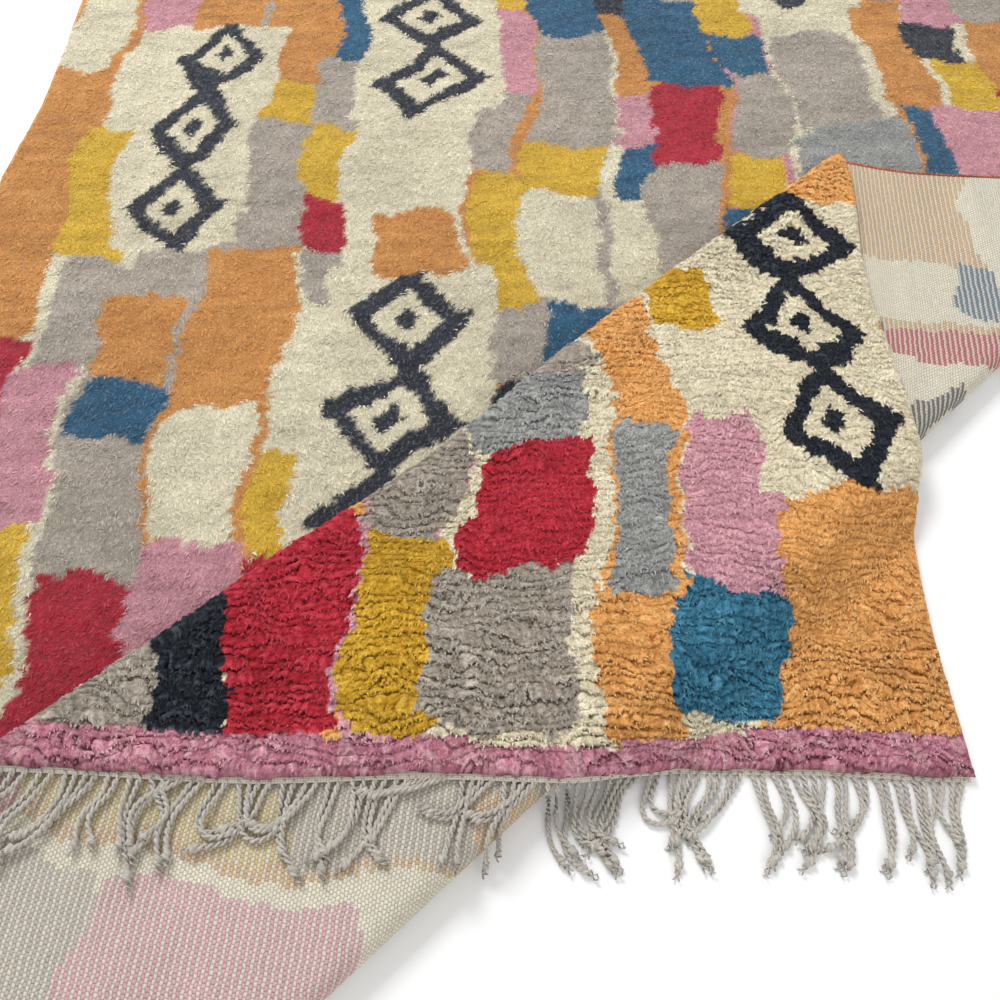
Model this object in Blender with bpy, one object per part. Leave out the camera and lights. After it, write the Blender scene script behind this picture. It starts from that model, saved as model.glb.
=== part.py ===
"""A hand-knotted wool rug on the floor. Its near right corner is folded back over
the rug along a diagonal crease, which shows the woven back, and then forward
again along a second crease, which shows the pile and the fringe of the near end.

Metres, +Z up. X runs across the rug and Y along it, from the fringed end to the
far end. The origin is on the floor at the middle of the rug's own rectangle.
"""

import math
import random
from collections import namedtuple

import bmesh
import bpy
from mathutils import Matrix, Vector

# The rug as woven, laid out flat
WIDTH = 1.70
LENGTH = 2.40
THICKNESS = 0.018
FOUNDATION = 0.0055

# The folds. Distances are measured square to the creases from the folded corner.
CREASE_ANGLE = math.radians(41.3)
LOWER_FOLD = 1.031
BACK_RUN = 0.337
TOP_RUN = 0.342
LAYER_GAP = 0.0025
OUTER_BEND = THICKNESS + LAYER_GAP / 2
INNER_BEND = LAYER_GAP / 2
STACK_HEIGHT = 2 * (OUTER_BEND + INNER_BEND)
DROP_BEND = 0.045
DROP_ANGLE = math.radians(32)

# The cloth's mesh
CELL = 0.075
EDGE_STEP = 0.05
LUMP_DEPTH = 0.0020
SWELL = 0.05

# Edge bindings
CORD_RADIUS = 0.0025
CORD_SPACING = 0.0005
CORD_GAP = 0.0008
PIECE_GAP = 0.0003
PARTING_GAP = 0.0012
HEADING_WIDTH = 0.009
HEADING_THICKNESS = 0.0035
HEADING_EASE = 0.07
LOWER_FOLD_ROWS = 6
UPPER_FOLD_ROWS = 3

# Fringe
STRAND_PITCH = 0.0103
STRAND_SHORTEST = 0.070
STRAND_LONGEST = 0.104
STRAND_WIDTH = 0.0058
STRAND_HEIGHT = 0.0055
STRAND_CLEARANCE = 0.0014
SETTLE_LENGTH = 0.030
SLIDE_ANGLE = math.radians(60)
SLIDING_STEPS = 10

TOUCH = 0.00001
COLLECTION = "hand_knotted_rug"

CORNER = Vector((WIDTH / 2, -LENGTH / 2))
OUTWARD = Vector((math.sin(CREASE_ANGLE), -math.cos(CREASE_ANGLE)))
ALONG = Vector((math.cos(CREASE_ANGLE), math.sin(CREASE_ANGLE)))

# The side wall, from the back up: height, and how far the pile overhangs the
# foundation there at the long sides and outwards at the two ends.
Ring = namedtuple("Ring", "height side_overhang end_overhang")
WALL = (
    Ring(0.0, 0.0, 0.0),
    Ring(FOUNDATION, 0.0, 0.0),
    Ring(0.0090, 0.0040, 0.0015),
    Ring(0.0150, 0.0050, 0.0020),
    Ring(THICKNESS, 0.0015, -0.0010),
)

# How far a line wanders: the place along it, and the shift there. The edges'
# places are distances from the near right corner and their shifts point outwards.
Wander = namedtuple("Wander", "place shift")
RIGHT_EDGE = (
    Wander(0.00, 0.000),
    Wander(0.15, -0.006),
    Wander(0.39, 0.006),
    Wander(0.62, -0.007),
    Wander(0.80, 0.010),
    Wander(0.95, -0.003),
    Wander(1.12, 0.006),
    Wander(1.50, 0.000),
    Wander(1.95, -0.006),
    Wander(2.40, 0.000),
)
LEFT_EDGE = (
    Wander(0.00, 0.000),
    Wander(0.60, -0.006),
    Wander(1.20, 0.006),
    Wander(1.38, 0.004),
    Wander(1.56, -0.012),
    Wander(2.00, -0.004),
    Wander(2.40, 0.000),
)
NEAR_EDGE = (
    Wander(0.00, 0.003),
    Wander(0.16, -0.003),
    Wander(0.32, -0.004),
    Wander(0.42, 0.003),
    Wander(0.55, 0.000),
    Wander(0.72, 0.006),
    Wander(0.90, 0.003),
    Wander(1.30, -0.004),
    Wander(1.70, 0.000),
)
FAR_EDGE = (
    Wander(0.00, 0.000),
    Wander(0.50, 0.005),
    Wander(1.10, -0.004),
    Wander(1.70, 0.000),
)

# The upper crease's bow towards the corner, its places counted along the crease
UPPER_BOW = (
    Wander(-0.75, -0.010),
    Wander(-0.45, 0.002),
    Wander(-0.20, 0.014),
    Wander(0.05, 0.003),
    Wander(0.60, 0.003),
)

# The section square to the creases, from the main body to the corner: the bend's
# radius on the cloth's back, its turn (positive towards the pile), a straight
# run's length, and the mesh steps in it.
DROP_HEIGHT = 2 * DROP_BEND * (1 - math.cos(DROP_ANGLE))
DROP_SLOPE = (STACK_HEIGHT - DROP_HEIGHT) / math.sin(DROP_ANGLE)
BENT_LENGTH = math.pi * (OUTER_BEND + INNER_BEND) + 2 * DROP_ANGLE * DROP_BEND
CORNER_RUN = LOWER_FOLD - BENT_LENGTH - BACK_RUN - TOP_RUN - DROP_SLOPE
Stretch = namedtuple("Stretch", "name radius turn run steps")
SECTION = (
    Stretch("lower fold", OUTER_BEND, math.pi, 0.0, 8),
    Stretch("back run", 0.0, 0.0, BACK_RUN, 4),
    Stretch("upper fold", INNER_BEND, -math.pi, 0.0, 6),
    Stretch("top run", 0.0, 0.0, TOP_RUN, 4),
    Stretch("drop over", DROP_BEND, -DROP_ANGLE, 0.0, 3),
    Stretch("drop slope", 0.0, 0.0, DROP_SLOPE, 1),
    Stretch("drop foot", DROP_BEND, DROP_ANGLE, 0.0, 3),
    Stretch("corner run", 0.0, 0.0, CORNER_RUN, 3),
)

# The strand's shape from its root to its knotted end: the share of its length at
# which each size is reached.
Knot = namedtuple("Knot", "share width height")
STRAND = (
    Knot(0.10, STRAND_WIDTH, STRAND_HEIGHT),
    Knot(0.35, STRAND_WIDTH, STRAND_HEIGHT),
    Knot(0.68, STRAND_WIDTH, STRAND_HEIGHT),
    Knot(0.90, 0.0074, 0.0070),
    Knot(1.00, 0.0050, 0.0050),
)

# Where a stretch of the section starts: its travel, place and heading
Start = namedtuple("Start", "travel length out up heading curve steps")


def smooth(share):
    """Ease from 0 to 1."""
    share = min(max(share, 0.0), 1.0)
    return share * share * (3 - 2 * share)


def looked_up(table, place):
    """A line's shift at a place, eased between the rows on either side."""
    if place <= table[0].place:
        return table[0].shift
    for low, high in zip(table, table[1:]):
        if place <= high.place:
            share = smooth((place - low.place) / (high.place - low.place))
            return low.shift + (high.shift - low.shift) * share
    return table[-1].shift


def section_starts():
    """The start of each stretch of the section, by its name."""
    starts = {}
    travel, out, up, heading = 0.0, 0.0, 0.0, 0.0
    for row in SECTION:
        length = abs(row.turn) * row.radius if row.turn else row.run
        curve = row.turn / length if row.turn else 0.0
        starts[row.name] = Start(travel, length, out, up, heading, curve, row.steps)
        travel += length
        out, up, heading = advanced(out, up, heading, curve, length)
    return starts


def advanced(out, up, heading, curve, length):
    """A point and heading moved along a straight or an arc."""
    if not curve:
        return out + math.cos(heading) * length, up + math.sin(heading) * length, heading
    turned = heading + curve * length
    out += (math.sin(turned) - math.sin(heading)) / curve
    up -= (math.cos(turned) - math.cos(heading)) / curve
    return out, up, turned


STARTS = section_starts()


def on_section(inward):
    """Where the cloth's back lies at a flat distance inward of the corner."""
    travel = LOWER_FOLD - inward
    if travel <= 0:
        return travel, 0.0, 0.0
    start = [start for start in STARTS.values() if start.travel <= travel][-1]
    return advanced(start.out, start.up, start.heading, start.curve, travel - start.travel)


def bow_share(inward, out):
    """How much of the upper crease's bow reaches this point of the two upper layers."""
    travel = LOWER_FOLD - inward
    if travel < STARTS["back run"].travel or travel > STARTS["drop over"].travel:
        return 0.0
    return smooth(-out / BACK_RUN)


def edge_shift(table, place):
    """An edge's wander, straight between places EDGE_STEP apart."""
    low = math.floor(place / EDGE_STEP) * EDGE_STEP
    share = (place - low) / EDGE_STEP
    return looked_up(table, low) * (1 - share) + looked_up(table, low + EDGE_STEP) * share


def slide(x, y):
    """How far a point of the flat rectangle slides along the creases, so that the
    edges wander while the cloth keeps its place in the folds."""
    across = (WIDTH / 2 - x) / WIDTH
    away = (y + LENGTH / 2) / LENGTH
    reach = min(max(y + LENGTH / 2, 0.0), LENGTH)
    side = min(max(WIDTH / 2 - x, 0.0), WIDTH)
    right = edge_shift(RIGHT_EDGE, reach) * (1 - across)
    left = edge_shift(LEFT_EDGE, reach) * across
    far = edge_shift(FAR_EDGE, side) * away
    near = edge_shift(NEAR_EDGE, side) * (1 - away)
    return (right - left) / ALONG.x + (far - near) / ALONG.y


def swell(x, y):
    """The slow unevenness of the layers, as a share of their height."""
    return SWELL * 0.5 * (math.sin(x * 9.0 + y * 4.0) + math.sin(y * 7.0 - x * 5.0 + 1.3))


def lump(x, y):
    """How far the pile sinks below its full height."""
    wave = math.sin(x * 23.0 + 0.8) * math.sin(y * 19.0 + x * 6.0)
    return LUMP_DEPTH * 0.5 * (1 + wave)


def placed(spot, height):
    """World place of a spot on the floor plan, with the layers' unevenness."""
    return Vector((spot.x, spot.y, height * (1 + swell(spot.x, spot.y))))


def folded(x, y, height):
    """Where a point of the flat rug lies once folded, height being over its back."""
    flat = Vector((x, y)) - CORNER
    inward = -flat.dot(OUTWARD)
    along = flat.dot(ALONG) + slide(x, y)
    out, up, heading = on_section(inward)
    bow = looked_up(UPPER_BOW, along) * bow_share(inward, out)
    out += bow - math.sin(heading) * height
    up += math.cos(heading) * height
    return placed(CORNER + OUTWARD * (out - LOWER_FOLD) + ALONG * along, up)


def section_stations():
    """Flat distances inward of the corner at which the cloth's mesh has a row."""
    stations = []
    for start in STARTS.values():
        share = start.length / start.steps
        stations += [LOWER_FOLD - start.travel - share * step for step in range(start.steps)]
    stations.append(-CELL)
    inward = LOWER_FOLD + CELL
    farthest = WIDTH * OUTWARD.x - LENGTH * OUTWARD.y + CELL
    while inward < farthest:
        stations.append(inward)
        inward += CELL
    stations.append(farthest)
    return sorted(stations, reverse=True)


def flat_sheet():
    """The flat rectangle, cut from a sheet whose rows run along the creases."""
    stations = section_stations()
    low = -WIDTH * ALONG.x - CELL
    high = LENGTH * ALONG.y + CELL
    columns = round((high - low) / CELL)
    sheet = bmesh.new()
    bmesh.ops.create_grid(sheet, x_segments=len(stations) - 1, y_segments=columns, size=1.0)
    for vertex in sheet.verts:
        row = round((vertex.co.x + 1) / 2 * (len(stations) - 1))
        along = low + (high - low) * (vertex.co.y + 1) / 2
        spot = CORNER - OUTWARD * stations[row] + ALONG * along
        vertex.co = (spot.x, spot.y, 0.0)
    for side in (Vector((1, 0, 0)), Vector((-1, 0, 0)), Vector((0, 1, 0)), Vector((0, -1, 0))):
        edge = Vector((side.x * WIDTH / 2, side.y * LENGTH / 2, 0.0))
        everything = sheet.verts[:] + sheet.edges[:] + sheet.faces[:]
        bmesh.ops.bisect_plane(
            sheet, geom=everything, dist=TOUCH, plane_co=edge, plane_no=side, clear_outer=True
        )
    split_outline(sheet)
    return sheet


def split_outline(sheet):
    """Put a vertex on the outline at every place where its wander bends."""
    for edge in [edge for edge in sheet.edges if edge.is_boundary]:
        start, end = edge.verts
        axis = 0 if abs(start.co.x - end.co.x) > abs(start.co.y - end.co.y) else 1
        if start.co[axis] > end.co[axis]:
            start, end = end, start
        first = math.ceil(start.co[axis] / EDGE_STEP)
        last = math.floor(end.co[axis] / EDGE_STEP)
        for mark in range(first, last + 1):
            gap = mark * EDGE_STEP - start.co[axis]
            left = end.co[axis] - mark * EDGE_STEP
            if min(gap, left) > PIECE_GAP:
                edge = [part for part in start.link_edges if part.other_vert(start) is end][0]
                start = bmesh.utils.edge_split(edge, start, gap / (gap + left))[1]


def raise_slab(sheet):
    """Give the flat sheet its thickness, with a ring of the wall at each height."""
    top = sheet.faces[:]
    for ring in WALL[1:]:
        is_first = ring is WALL[1]
        grown = bmesh.ops.extrude_face_region(sheet, geom=top, use_keep_orig=is_first)
        if not is_first:
            bmesh.ops.delete(sheet, geom=top, context="FACES_KEEP_BOUNDARY")
        top = [part for part in grown["geom"] if isinstance(part, bmesh.types.BMFace)]
        for vertex in {vertex for face in top for vertex in face.verts}:
            vertex.co.z = ring.height
    return sheet


def piled(spot):
    """A point of the upright slab moved to the pile's overhanging, lumpy shape.

    The overhang runs along the creases, so that the wall keeps its place in them.
    """
    ring = min(WALL, key=lambda ring: abs(ring.height - spot.z))
    lean = 0.0
    if abs(abs(spot.x) - WIDTH / 2) < TOUCH:
        lean += math.copysign(ring.side_overhang, spot.x) / ALONG.x
    if abs(abs(spot.y) - LENGTH / 2) < TOUCH:
        lean += math.copysign(ring.end_overhang, spot.y) / ALONG.y
    sunk = lump(spot.x, spot.y) if ring is WALL[-1] else 0.0
    return spot.x + lean * ALONG.x, spot.y + lean * ALONG.y, ring.height - sunk


def material(name, colour, roughness):
    """A plain finish for one sub-part."""
    made = bpy.data.materials.new(name)
    made.use_nodes = True
    shader = made.node_tree.nodes["Principled BSDF"]
    shader.inputs["Base Color"].default_value = (*colour, 1.0)
    shader.inputs["Roughness"].default_value = roughness
    shader.inputs["Metallic"].default_value = 0.0
    return made


def add_object(name, built, finish, collection):
    """Turn a finished bmesh into a named object."""
    bmesh.ops.recalc_face_normals(built, faces=built.faces)
    mesh = bpy.data.meshes.new(name)
    built.to_mesh(mesh)
    built.free()
    made = bpy.data.objects.new(name, mesh)
    made.data.materials.append(finish)
    collection.objects.link(made)
    return made


def make_body(finish, collection):
    """The knotted cloth, folded."""
    cloth = raise_slab(flat_sheet())
    for vertex in cloth.verts:
        vertex.co = folded(*piled(vertex.co))
    return add_object("rug_body", cloth, finish, collection)


def flat_strip(stations, near, far):
    """A flat heading strip, with a cross row at each station across the rug."""
    strip = bmesh.new()
    bmesh.ops.create_grid(strip, x_segments=len(stations) - 1, y_segments=1, size=1.0)
    for vertex in strip.verts:
        row = round((vertex.co.x + 1) / 2 * (len(stations) - 1))
        vertex.co = (stations[row], far if vertex.co.y > 0 else near, 0.0)
    grown = bmesh.ops.extrude_face_region(strip, geom=strip.faces[:], use_keep_orig=True)
    for part in grown["geom"]:
        if isinstance(part, bmesh.types.BMVert):
            part.co.z = HEADING_THICKNESS
    return strip


def crossing(name):
    """Where a stretch of the section starts on the near end: its x on the flat rug."""
    return CORNER.x - (LOWER_FOLD - STARTS[name].travel) / OUTWARD.x


def slant(x):
    """How much a cross row of the near heading runs along the creases, 1 in the folds."""
    shares = []
    for first, last in (("lower fold", "back run"), ("upper fold", "top run")):
        past = max(crossing(first) - x, x - crossing(last), 0.0)
        shares.append(1 - smooth(past / HEADING_EASE))
    return max(shares)


def strand_support(out):
    """The height that a strand lies at over the lower fold and the floor beyond it."""
    reach = OUTER_BEND + STRAND_CLEARANCE
    if out <= 0:
        return OUTER_BEND + reach
    slide_out = reach * math.sin(SLIDE_ANGLE)
    if out <= slide_out:
        return OUTER_BEND + math.sqrt(reach * reach - out * out)
    slide_up = OUTER_BEND + reach * math.cos(SLIDE_ANGLE)
    return max(slide_up - (out - slide_out) * math.tan(SLIDE_ANGLE), 0.0)


def out_of(spot):
    """How far a place on the floor plan is past the lower fold's centre."""
    return (spot - CORNER).dot(OUTWARD) + LOWER_FOLD


def on_lower_layer(spot):
    """Support for the fringe of the corner: the cloth's back, its fold and the floor."""
    return strand_support(out_of(spot))


def on_pile(spot):
    """Support for the fringe of the turned layer: the pile under it."""
    return THICKNESS + STRAND_CLEARANCE


def on_floor(spot):
    """Support for the fringe of the main body."""
    return 0.0


def strand_sway(x):
    """How a strand leans and curls, as two shares of its length. Neighbours agree."""
    lean = 0.16 * math.sin(x * 11.0 + 0.6) + 0.10 * math.sin(x * 23.0 + 2.0)
    curl = 0.22 * math.sin(x * 15.0 + 1.1) + 0.08 * math.sin(x * 31.0)
    return lean, curl


def sliding_sections():
    """The strand's table with more rows, for one that bends down over the fold."""
    shares = [(step + 1) / SLIDING_STEPS for step in range(SLIDING_STEPS - 2)]
    return [Knot(share, STRAND_WIDTH, STRAND_HEIGHT) for share in shares] + list(STRAND[-2:])


def strand_rows(root, outward, x, length, support, sections):
    """Centre, side and size of each section along one strand."""
    side = Vector((-outward.y, outward.x))
    lean, curl = strand_sway(x)
    root_lift = root.z - support(Vector((root.x, root.y)))
    rows = []
    for share, width, height in sections:
        forward = share * length
        across = length * (lean * share + curl * share * share)
        spot = Vector((root.x, root.y)) + outward * forward + side * across
        lift = root_lift * (1 - smooth(forward / SETTLE_LENGTH))
        heading = outward + side * (lean + 2 * curl * share)
        heading.normalize()
        cross = Vector((-heading.y, heading.x))
        bed = max(support(spot + cross * (edge * width / 2)) for edge in (-1, 0, 1))
        rows.append((spot, cross, bed + max(lift, 0.0), width, height))
    return rows


def grow_strand(strip, root_face, outward, x, length, support, sections):
    """Extrude one strand out of a face on the heading's outer side."""
    corners = root_face.verts[:]
    middle = sum((vertex.co for vertex in corners), Vector()) / len(corners)
    low = min(vertex.co.z for vertex in corners)
    side = Vector((-outward.y, outward.x))
    signs = []
    for vertex in corners:
        beside = (vertex.co.xy - middle.xy).dot(side)
        signs.append((math.copysign(0.5, beside), vertex.co.z > middle.z))
    face = root_face
    for spot, cross, level, width, height in strand_rows(
        Vector((middle.x, middle.y, low)), outward, x, length, support, sections
    ):
        grown = bmesh.ops.extrude_discrete_faces(strip, faces=[face])
        face = grown["faces"][0]
        for vertex, (sign, upper) in zip(face.verts, signs):
            place = spot + cross * (sign * width)
            vertex.co = placed(place, level + (height if upper else 0.0))


def strand_stations(start, end):
    """Cross rows of a fringed heading: each strand's two sides, over one stretch."""
    count = int((end - start) / STRAND_PITCH)
    margin = (end - start - count * STRAND_PITCH) / 2
    stations = [start]
    for index in range(count):
        middle = start + margin + STRAND_PITCH * (index + 0.5)
        stations += [middle - STRAND_WIDTH / 2, middle + STRAND_WIDTH / 2]
    return stations + [end]


def bend_stations(start, end, steps):
    """Cross rows of a heading that goes round a bend, without strands."""
    return [start + (end - start) * (step + 1) / steps for step in range(steps - 1)]


def root_faces(strip, outer, flat_from, flat_to):
    """The faces on the heading's outer side that strands grow out of, each with its x."""
    roots = []
    for face in strip.faces:
        middle = face.calc_center_median()
        wide = max(v.co.x for v in face.verts) - min(v.co.x for v in face.verts)
        is_outer = abs(middle.y - outer) < PIECE_GAP
        is_root = abs(wide - STRAND_WIDTH) < PIECE_GAP and flat_from < middle.x < flat_to
        if is_outer and is_root:
            roots.append((middle.x, face))
    return sorted(roots, key=lambda root: root[0])


def make_fringe(name, flat_from, flat_to, before, after, turn, support, finish, collection):
    """One stretch of the near heading with its strands, and its share of the folds."""
    draw = random.Random(name)
    rows = before + strand_stations(flat_from, flat_to) + after
    near = -LENGTH / 2 - PIECE_GAP
    outer = near - HEADING_WIDTH
    strip = flat_strip(rows, outer, near)
    roots = root_faces(strip, outer, flat_from, flat_to)
    for vertex in strip.verts:
        if abs(vertex.co.y - outer) < TOUCH:
            vertex.co.x -= slant(vertex.co.x) * HEADING_WIDTH * ALONG.x / ALONG.y
        vertex.co = folded(*vertex.co)
    outward = Vector((0, -1))
    outward.rotate(turn)
    for x, face in roots:
        length = draw.uniform(STRAND_SHORTEST, STRAND_LONGEST)
        middle = face.calc_center_median()
        spot = Vector((middle.x, middle.y))
        tip_out = out_of(spot + outward * length)
        slides = support is on_lower_layer and out_of(spot) < DROP_BEND and tip_out > -OUTER_BEND
        sections = sliding_sections() if slides else STRAND
        grow_strand(strip, face, outward, x, length, support, sections)
    return add_object(name, strip, finish, collection)


def make_fringes(finish, collection):
    """The near heading, parted in the middle of each fold."""
    lower_start = crossing("lower fold")
    lower_end = crossing("back run")
    upper_start = crossing("upper fold")
    upper_end = crossing("top run")
    lower_left = (lower_start + lower_end - PARTING_GAP) / 2
    lower_right = lower_left + PARTING_GAP
    upper_left = (upper_start + upper_end - PARTING_GAP) / 2
    upper_right = upper_left + PARTING_GAP
    mirrored = Matrix.Rotation(2 * CREASE_ANGLE - math.pi, 2)
    straight = Matrix.Identity(2)
    make_fringe(
        "fringe_base", -WIDTH / 2, lower_start, [],
        bend_stations(lower_start, lower_left, LOWER_FOLD_ROWS) + [lower_left],
        straight, on_floor, finish, collection,
    )
    make_fringe(
        "fringe_middle", lower_end, upper_start,
        [lower_right] + bend_stations(lower_right, lower_end, LOWER_FOLD_ROWS),
        bend_stations(upper_start, upper_left, UPPER_FOLD_ROWS) + [upper_left],
        mirrored, on_pile, finish, collection,
    )
    make_fringe(
        "fringe_top", upper_end, WIDTH / 2,
        [upper_right] + bend_stations(upper_right, upper_end, UPPER_FOLD_ROWS), [],
        straight, on_lower_layer, finish, collection,
    )


def make_far_heading(finish, collection):
    """The plain woven band at the far end."""
    count = round(WIDTH / CELL)
    stations = [-WIDTH / 2 + WIDTH * index / count for index in range(count + 1)]
    near = LENGTH / 2 + PIECE_GAP
    strip = flat_strip(stations, near, near + HEADING_WIDTH)
    for vertex in strip.verts:
        vertex.co = folded(*vertex.co)
    return add_object("heading_far", strip, finish, collection)


def cord_stations(x):
    """Places along a long side where the cord has a point, x being its distance across."""
    steps = round(LENGTH / EDGE_STEP)
    places = [EDGE_STEP * index - LENGTH / 2 for index in range(steps + 1)]
    for start in STARTS.values():
        for index in range(start.steps + 1):
            inward = LOWER_FOLD - start.travel - start.length * index / start.steps
            place = (inward + (x - CORNER.x) * OUTWARD.x) / -OUTWARD.y - LENGTH / 2
            if start.curve and abs(place) < LENGTH / 2:
                places.append(place)
    return sorted(places)


def thinned(places, least):
    """Drop the places that crowd the one before."""
    kept = [places[0]]
    for place in places[1:]:
        if place - kept[-1] > least:
            kept.append(place)
    return kept


def make_cord(name, sign, finish, collection):
    """An overcast cord along one long side, at the foundation's height."""
    spine = bpy.data.curves.new(name + "_spine", "CURVE")
    spine.dimensions = "3D"
    spine.bevel_depth = CORD_RADIUS
    spine.bevel_resolution = 1
    spine.use_fill_caps = True
    x = sign * (WIDTH / 2 + CORD_GAP + CORD_RADIUS)
    places = thinned(cord_stations(x), CORD_SPACING)
    points = [folded(x, y, CORD_RADIUS + PIECE_GAP) for y in places]
    spline = spine.splines.new("POLY")
    spline.points.add(len(points) - 1)
    for target, point in zip(spline.points, points):
        target.co = (*point, 1.0)
    guide = bpy.data.objects.new(name + "_guide", spine)
    collection.objects.link(guide)
    bpy.context.view_layer.update()
    graph = bpy.context.evaluated_depsgraph_get()
    mesh = bpy.data.meshes.new_from_object(guide.evaluated_get(graph))
    bpy.data.objects.remove(guide)
    tube = bmesh.new()
    tube.from_mesh(mesh)
    bpy.data.meshes.remove(mesh)
    bmesh.ops.remove_doubles(tube, verts=tube.verts, dist=TOUCH)
    return add_object(name, tube, finish, collection)


def main():
    for old in list(bpy.data.objects):
        bpy.data.objects.remove(old)
    rug = bpy.data.collections.new(COLLECTION)
    bpy.context.scene.collection.children.link(rug)
    wool = material("pile_wool", (0.78, 0.68, 0.52), 0.95)
    cotton = material("warp_cotton", (0.52, 0.49, 0.44), 0.9)
    overcast = material("edge_yarn", (0.62, 0.27, 0.15), 0.9)
    make_body(wool, rug)
    make_fringes(cotton, rug)
    make_far_heading(cotton, rug)
    make_cord("selvedge_right", 1, overcast, rug)
    make_cord("selvedge_left", -1, overcast, rug)


main()
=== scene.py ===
import math
import random
from collections import namedtuple

import bpy
import numpy as np
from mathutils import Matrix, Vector


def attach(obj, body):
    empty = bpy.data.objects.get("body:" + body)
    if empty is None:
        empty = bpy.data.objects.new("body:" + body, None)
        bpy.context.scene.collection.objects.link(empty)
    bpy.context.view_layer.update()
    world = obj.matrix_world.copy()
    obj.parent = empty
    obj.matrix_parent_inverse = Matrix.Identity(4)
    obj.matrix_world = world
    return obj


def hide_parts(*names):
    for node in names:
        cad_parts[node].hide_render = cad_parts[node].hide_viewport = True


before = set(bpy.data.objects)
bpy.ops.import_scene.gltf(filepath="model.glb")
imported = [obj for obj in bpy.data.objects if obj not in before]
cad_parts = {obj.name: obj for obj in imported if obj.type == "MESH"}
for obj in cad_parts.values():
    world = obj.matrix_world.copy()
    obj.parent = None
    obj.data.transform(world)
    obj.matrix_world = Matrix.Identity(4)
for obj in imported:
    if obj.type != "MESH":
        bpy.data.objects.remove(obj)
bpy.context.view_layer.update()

# The rug's sizes
WIDTH = 1.70
LENGTH = 2.40
THICKNESS = 0.018
FOUNDATION = 0.0055
KNOT_WIDTH = 0.00425
ROW_PITCH = 0.0065
BORDER = 0.037

CREASE_ANGLE = math.radians(41.3)
LOWER_FOLD = 1.031
BACK_RUN = 0.337
TOP_RUN = 0.342
LAYER_GAP = 0.0025
OUTER_BEND = THICKNESS + LAYER_GAP / 2
INNER_BEND = LAYER_GAP / 2
STACK_HEIGHT = 2 * (OUTER_BEND + INNER_BEND)
DROP_BEND = 0.045
DROP_ANGLE = math.radians(32)
DROP_HEIGHT = 2 * DROP_BEND * (1 - math.cos(DROP_ANGLE))
DROP_SLOPE = (STACK_HEIGHT - DROP_HEIGHT) / math.sin(DROP_ANGLE)
BENT_LENGTH = math.pi * (OUTER_BEND + INNER_BEND) + 2 * DROP_ANGLE * DROP_BEND
CORNER_RUN = LOWER_FOLD - BENT_LENGTH - BACK_RUN - TOP_RUN - DROP_SLOPE
EDGE_STEP = 0.05
SWELL = 0.05
PIECE_GAP = 0.0003
PARTING_GAP = 0.0012
HEADING_WIDTH = 0.009
HEADING_THICKNESS = 0.0035
HEADING_EASE = 0.07
STRAND_PITCH = 0.0103
STRAND_SHORTEST = 0.070
STRAND_LONGEST = 0.104
STRAND_CLEARANCE = 0.0014
SETTLE_LENGTH = 0.030
SLIDE_ANGLE = math.radians(60)

CORNER = np.array((WIDTH / 2, -LENGTH / 2))
OUTWARD = np.array((math.sin(CREASE_ANGLE), -math.cos(CREASE_ANGLE)))
ALONG = np.array((math.cos(CREASE_ANGLE), math.sin(CREASE_ANGLE)))

RIGHT_EDGE = np.array([
    (0.00, 0.000), (0.15, -0.006), (0.39, 0.006), (0.62, -0.007), (0.80, 0.010),
    (0.95, -0.003), (1.12, 0.006), (1.50, 0.000), (1.95, -0.006), (2.40, 0.000),
])
LEFT_EDGE = np.array([
    (0.00, 0.000), (0.60, -0.006), (1.20, 0.006), (1.38, 0.004), (1.56, -0.012),
    (2.00, -0.004), (2.40, 0.000),
])
NEAR_EDGE = np.array([
    (0.00, 0.003), (0.16, -0.003), (0.32, -0.004), (0.42, 0.003), (0.55, 0.000),
    (0.72, 0.006), (0.90, 0.003), (1.30, -0.004), (1.70, 0.000),
])
FAR_EDGE = np.array([(0.00, 0.000), (0.50, 0.005), (1.10, -0.004), (1.70, 0.000)])
UPPER_BOW = np.array([
    (-0.75, -0.010), (-0.45, 0.002), (-0.20, 0.014), (0.05, 0.003), (0.60, 0.003),
])

Stretch = namedtuple("Stretch", "name radius turn run")
SECTION = (
    Stretch("lower fold", OUTER_BEND, math.pi, 0.0),
    Stretch("back run", 0.0, 0.0, BACK_RUN),
    Stretch("upper fold", INNER_BEND, -math.pi, 0.0),
    Stretch("top run", 0.0, 0.0, TOP_RUN),
    Stretch("drop over", DROP_BEND, -DROP_ANGLE, 0.0),
    Stretch("drop slope", 0.0, 0.0, DROP_SLOPE),
    Stretch("drop foot", DROP_BEND, DROP_ANGLE, 0.0),
    Stretch("corner run", 0.0, 0.0, CORNER_RUN),
)
Start = namedtuple("Start", "travel length out up heading curve")


def advanced(out, up, heading, curve, length):
    """A point and heading moved along a straight or an arc."""
    if not curve:
        return out + np.cos(heading) * length, up + np.sin(heading) * length, heading + 0 * length
    turned = heading + curve * length
    out = out + (np.sin(turned) - np.sin(heading)) / curve
    up = up - (np.cos(turned) - np.cos(heading)) / curve
    return out, up, turned


def section_starts():
    """The start of each stretch of the section square to the creases, by its name."""
    starts = {}
    travel, out, up, heading = 0.0, 0.0, 0.0, 0.0
    for row in SECTION:
        length = abs(row.turn) * row.radius if row.turn else row.run
        curve = row.turn / length if row.turn else 0.0
        starts[row.name] = Start(travel, length, out, up, heading, curve)
        travel += length
        out, up, heading = advanced(out, up, heading, curve, length)
    return starts


STARTS = section_starts()


def smooth(share):
    """Ease from 0 to 1."""
    share = np.clip(share, 0.0, 1.0)
    return share * share * (3 - 2 * share)


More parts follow.
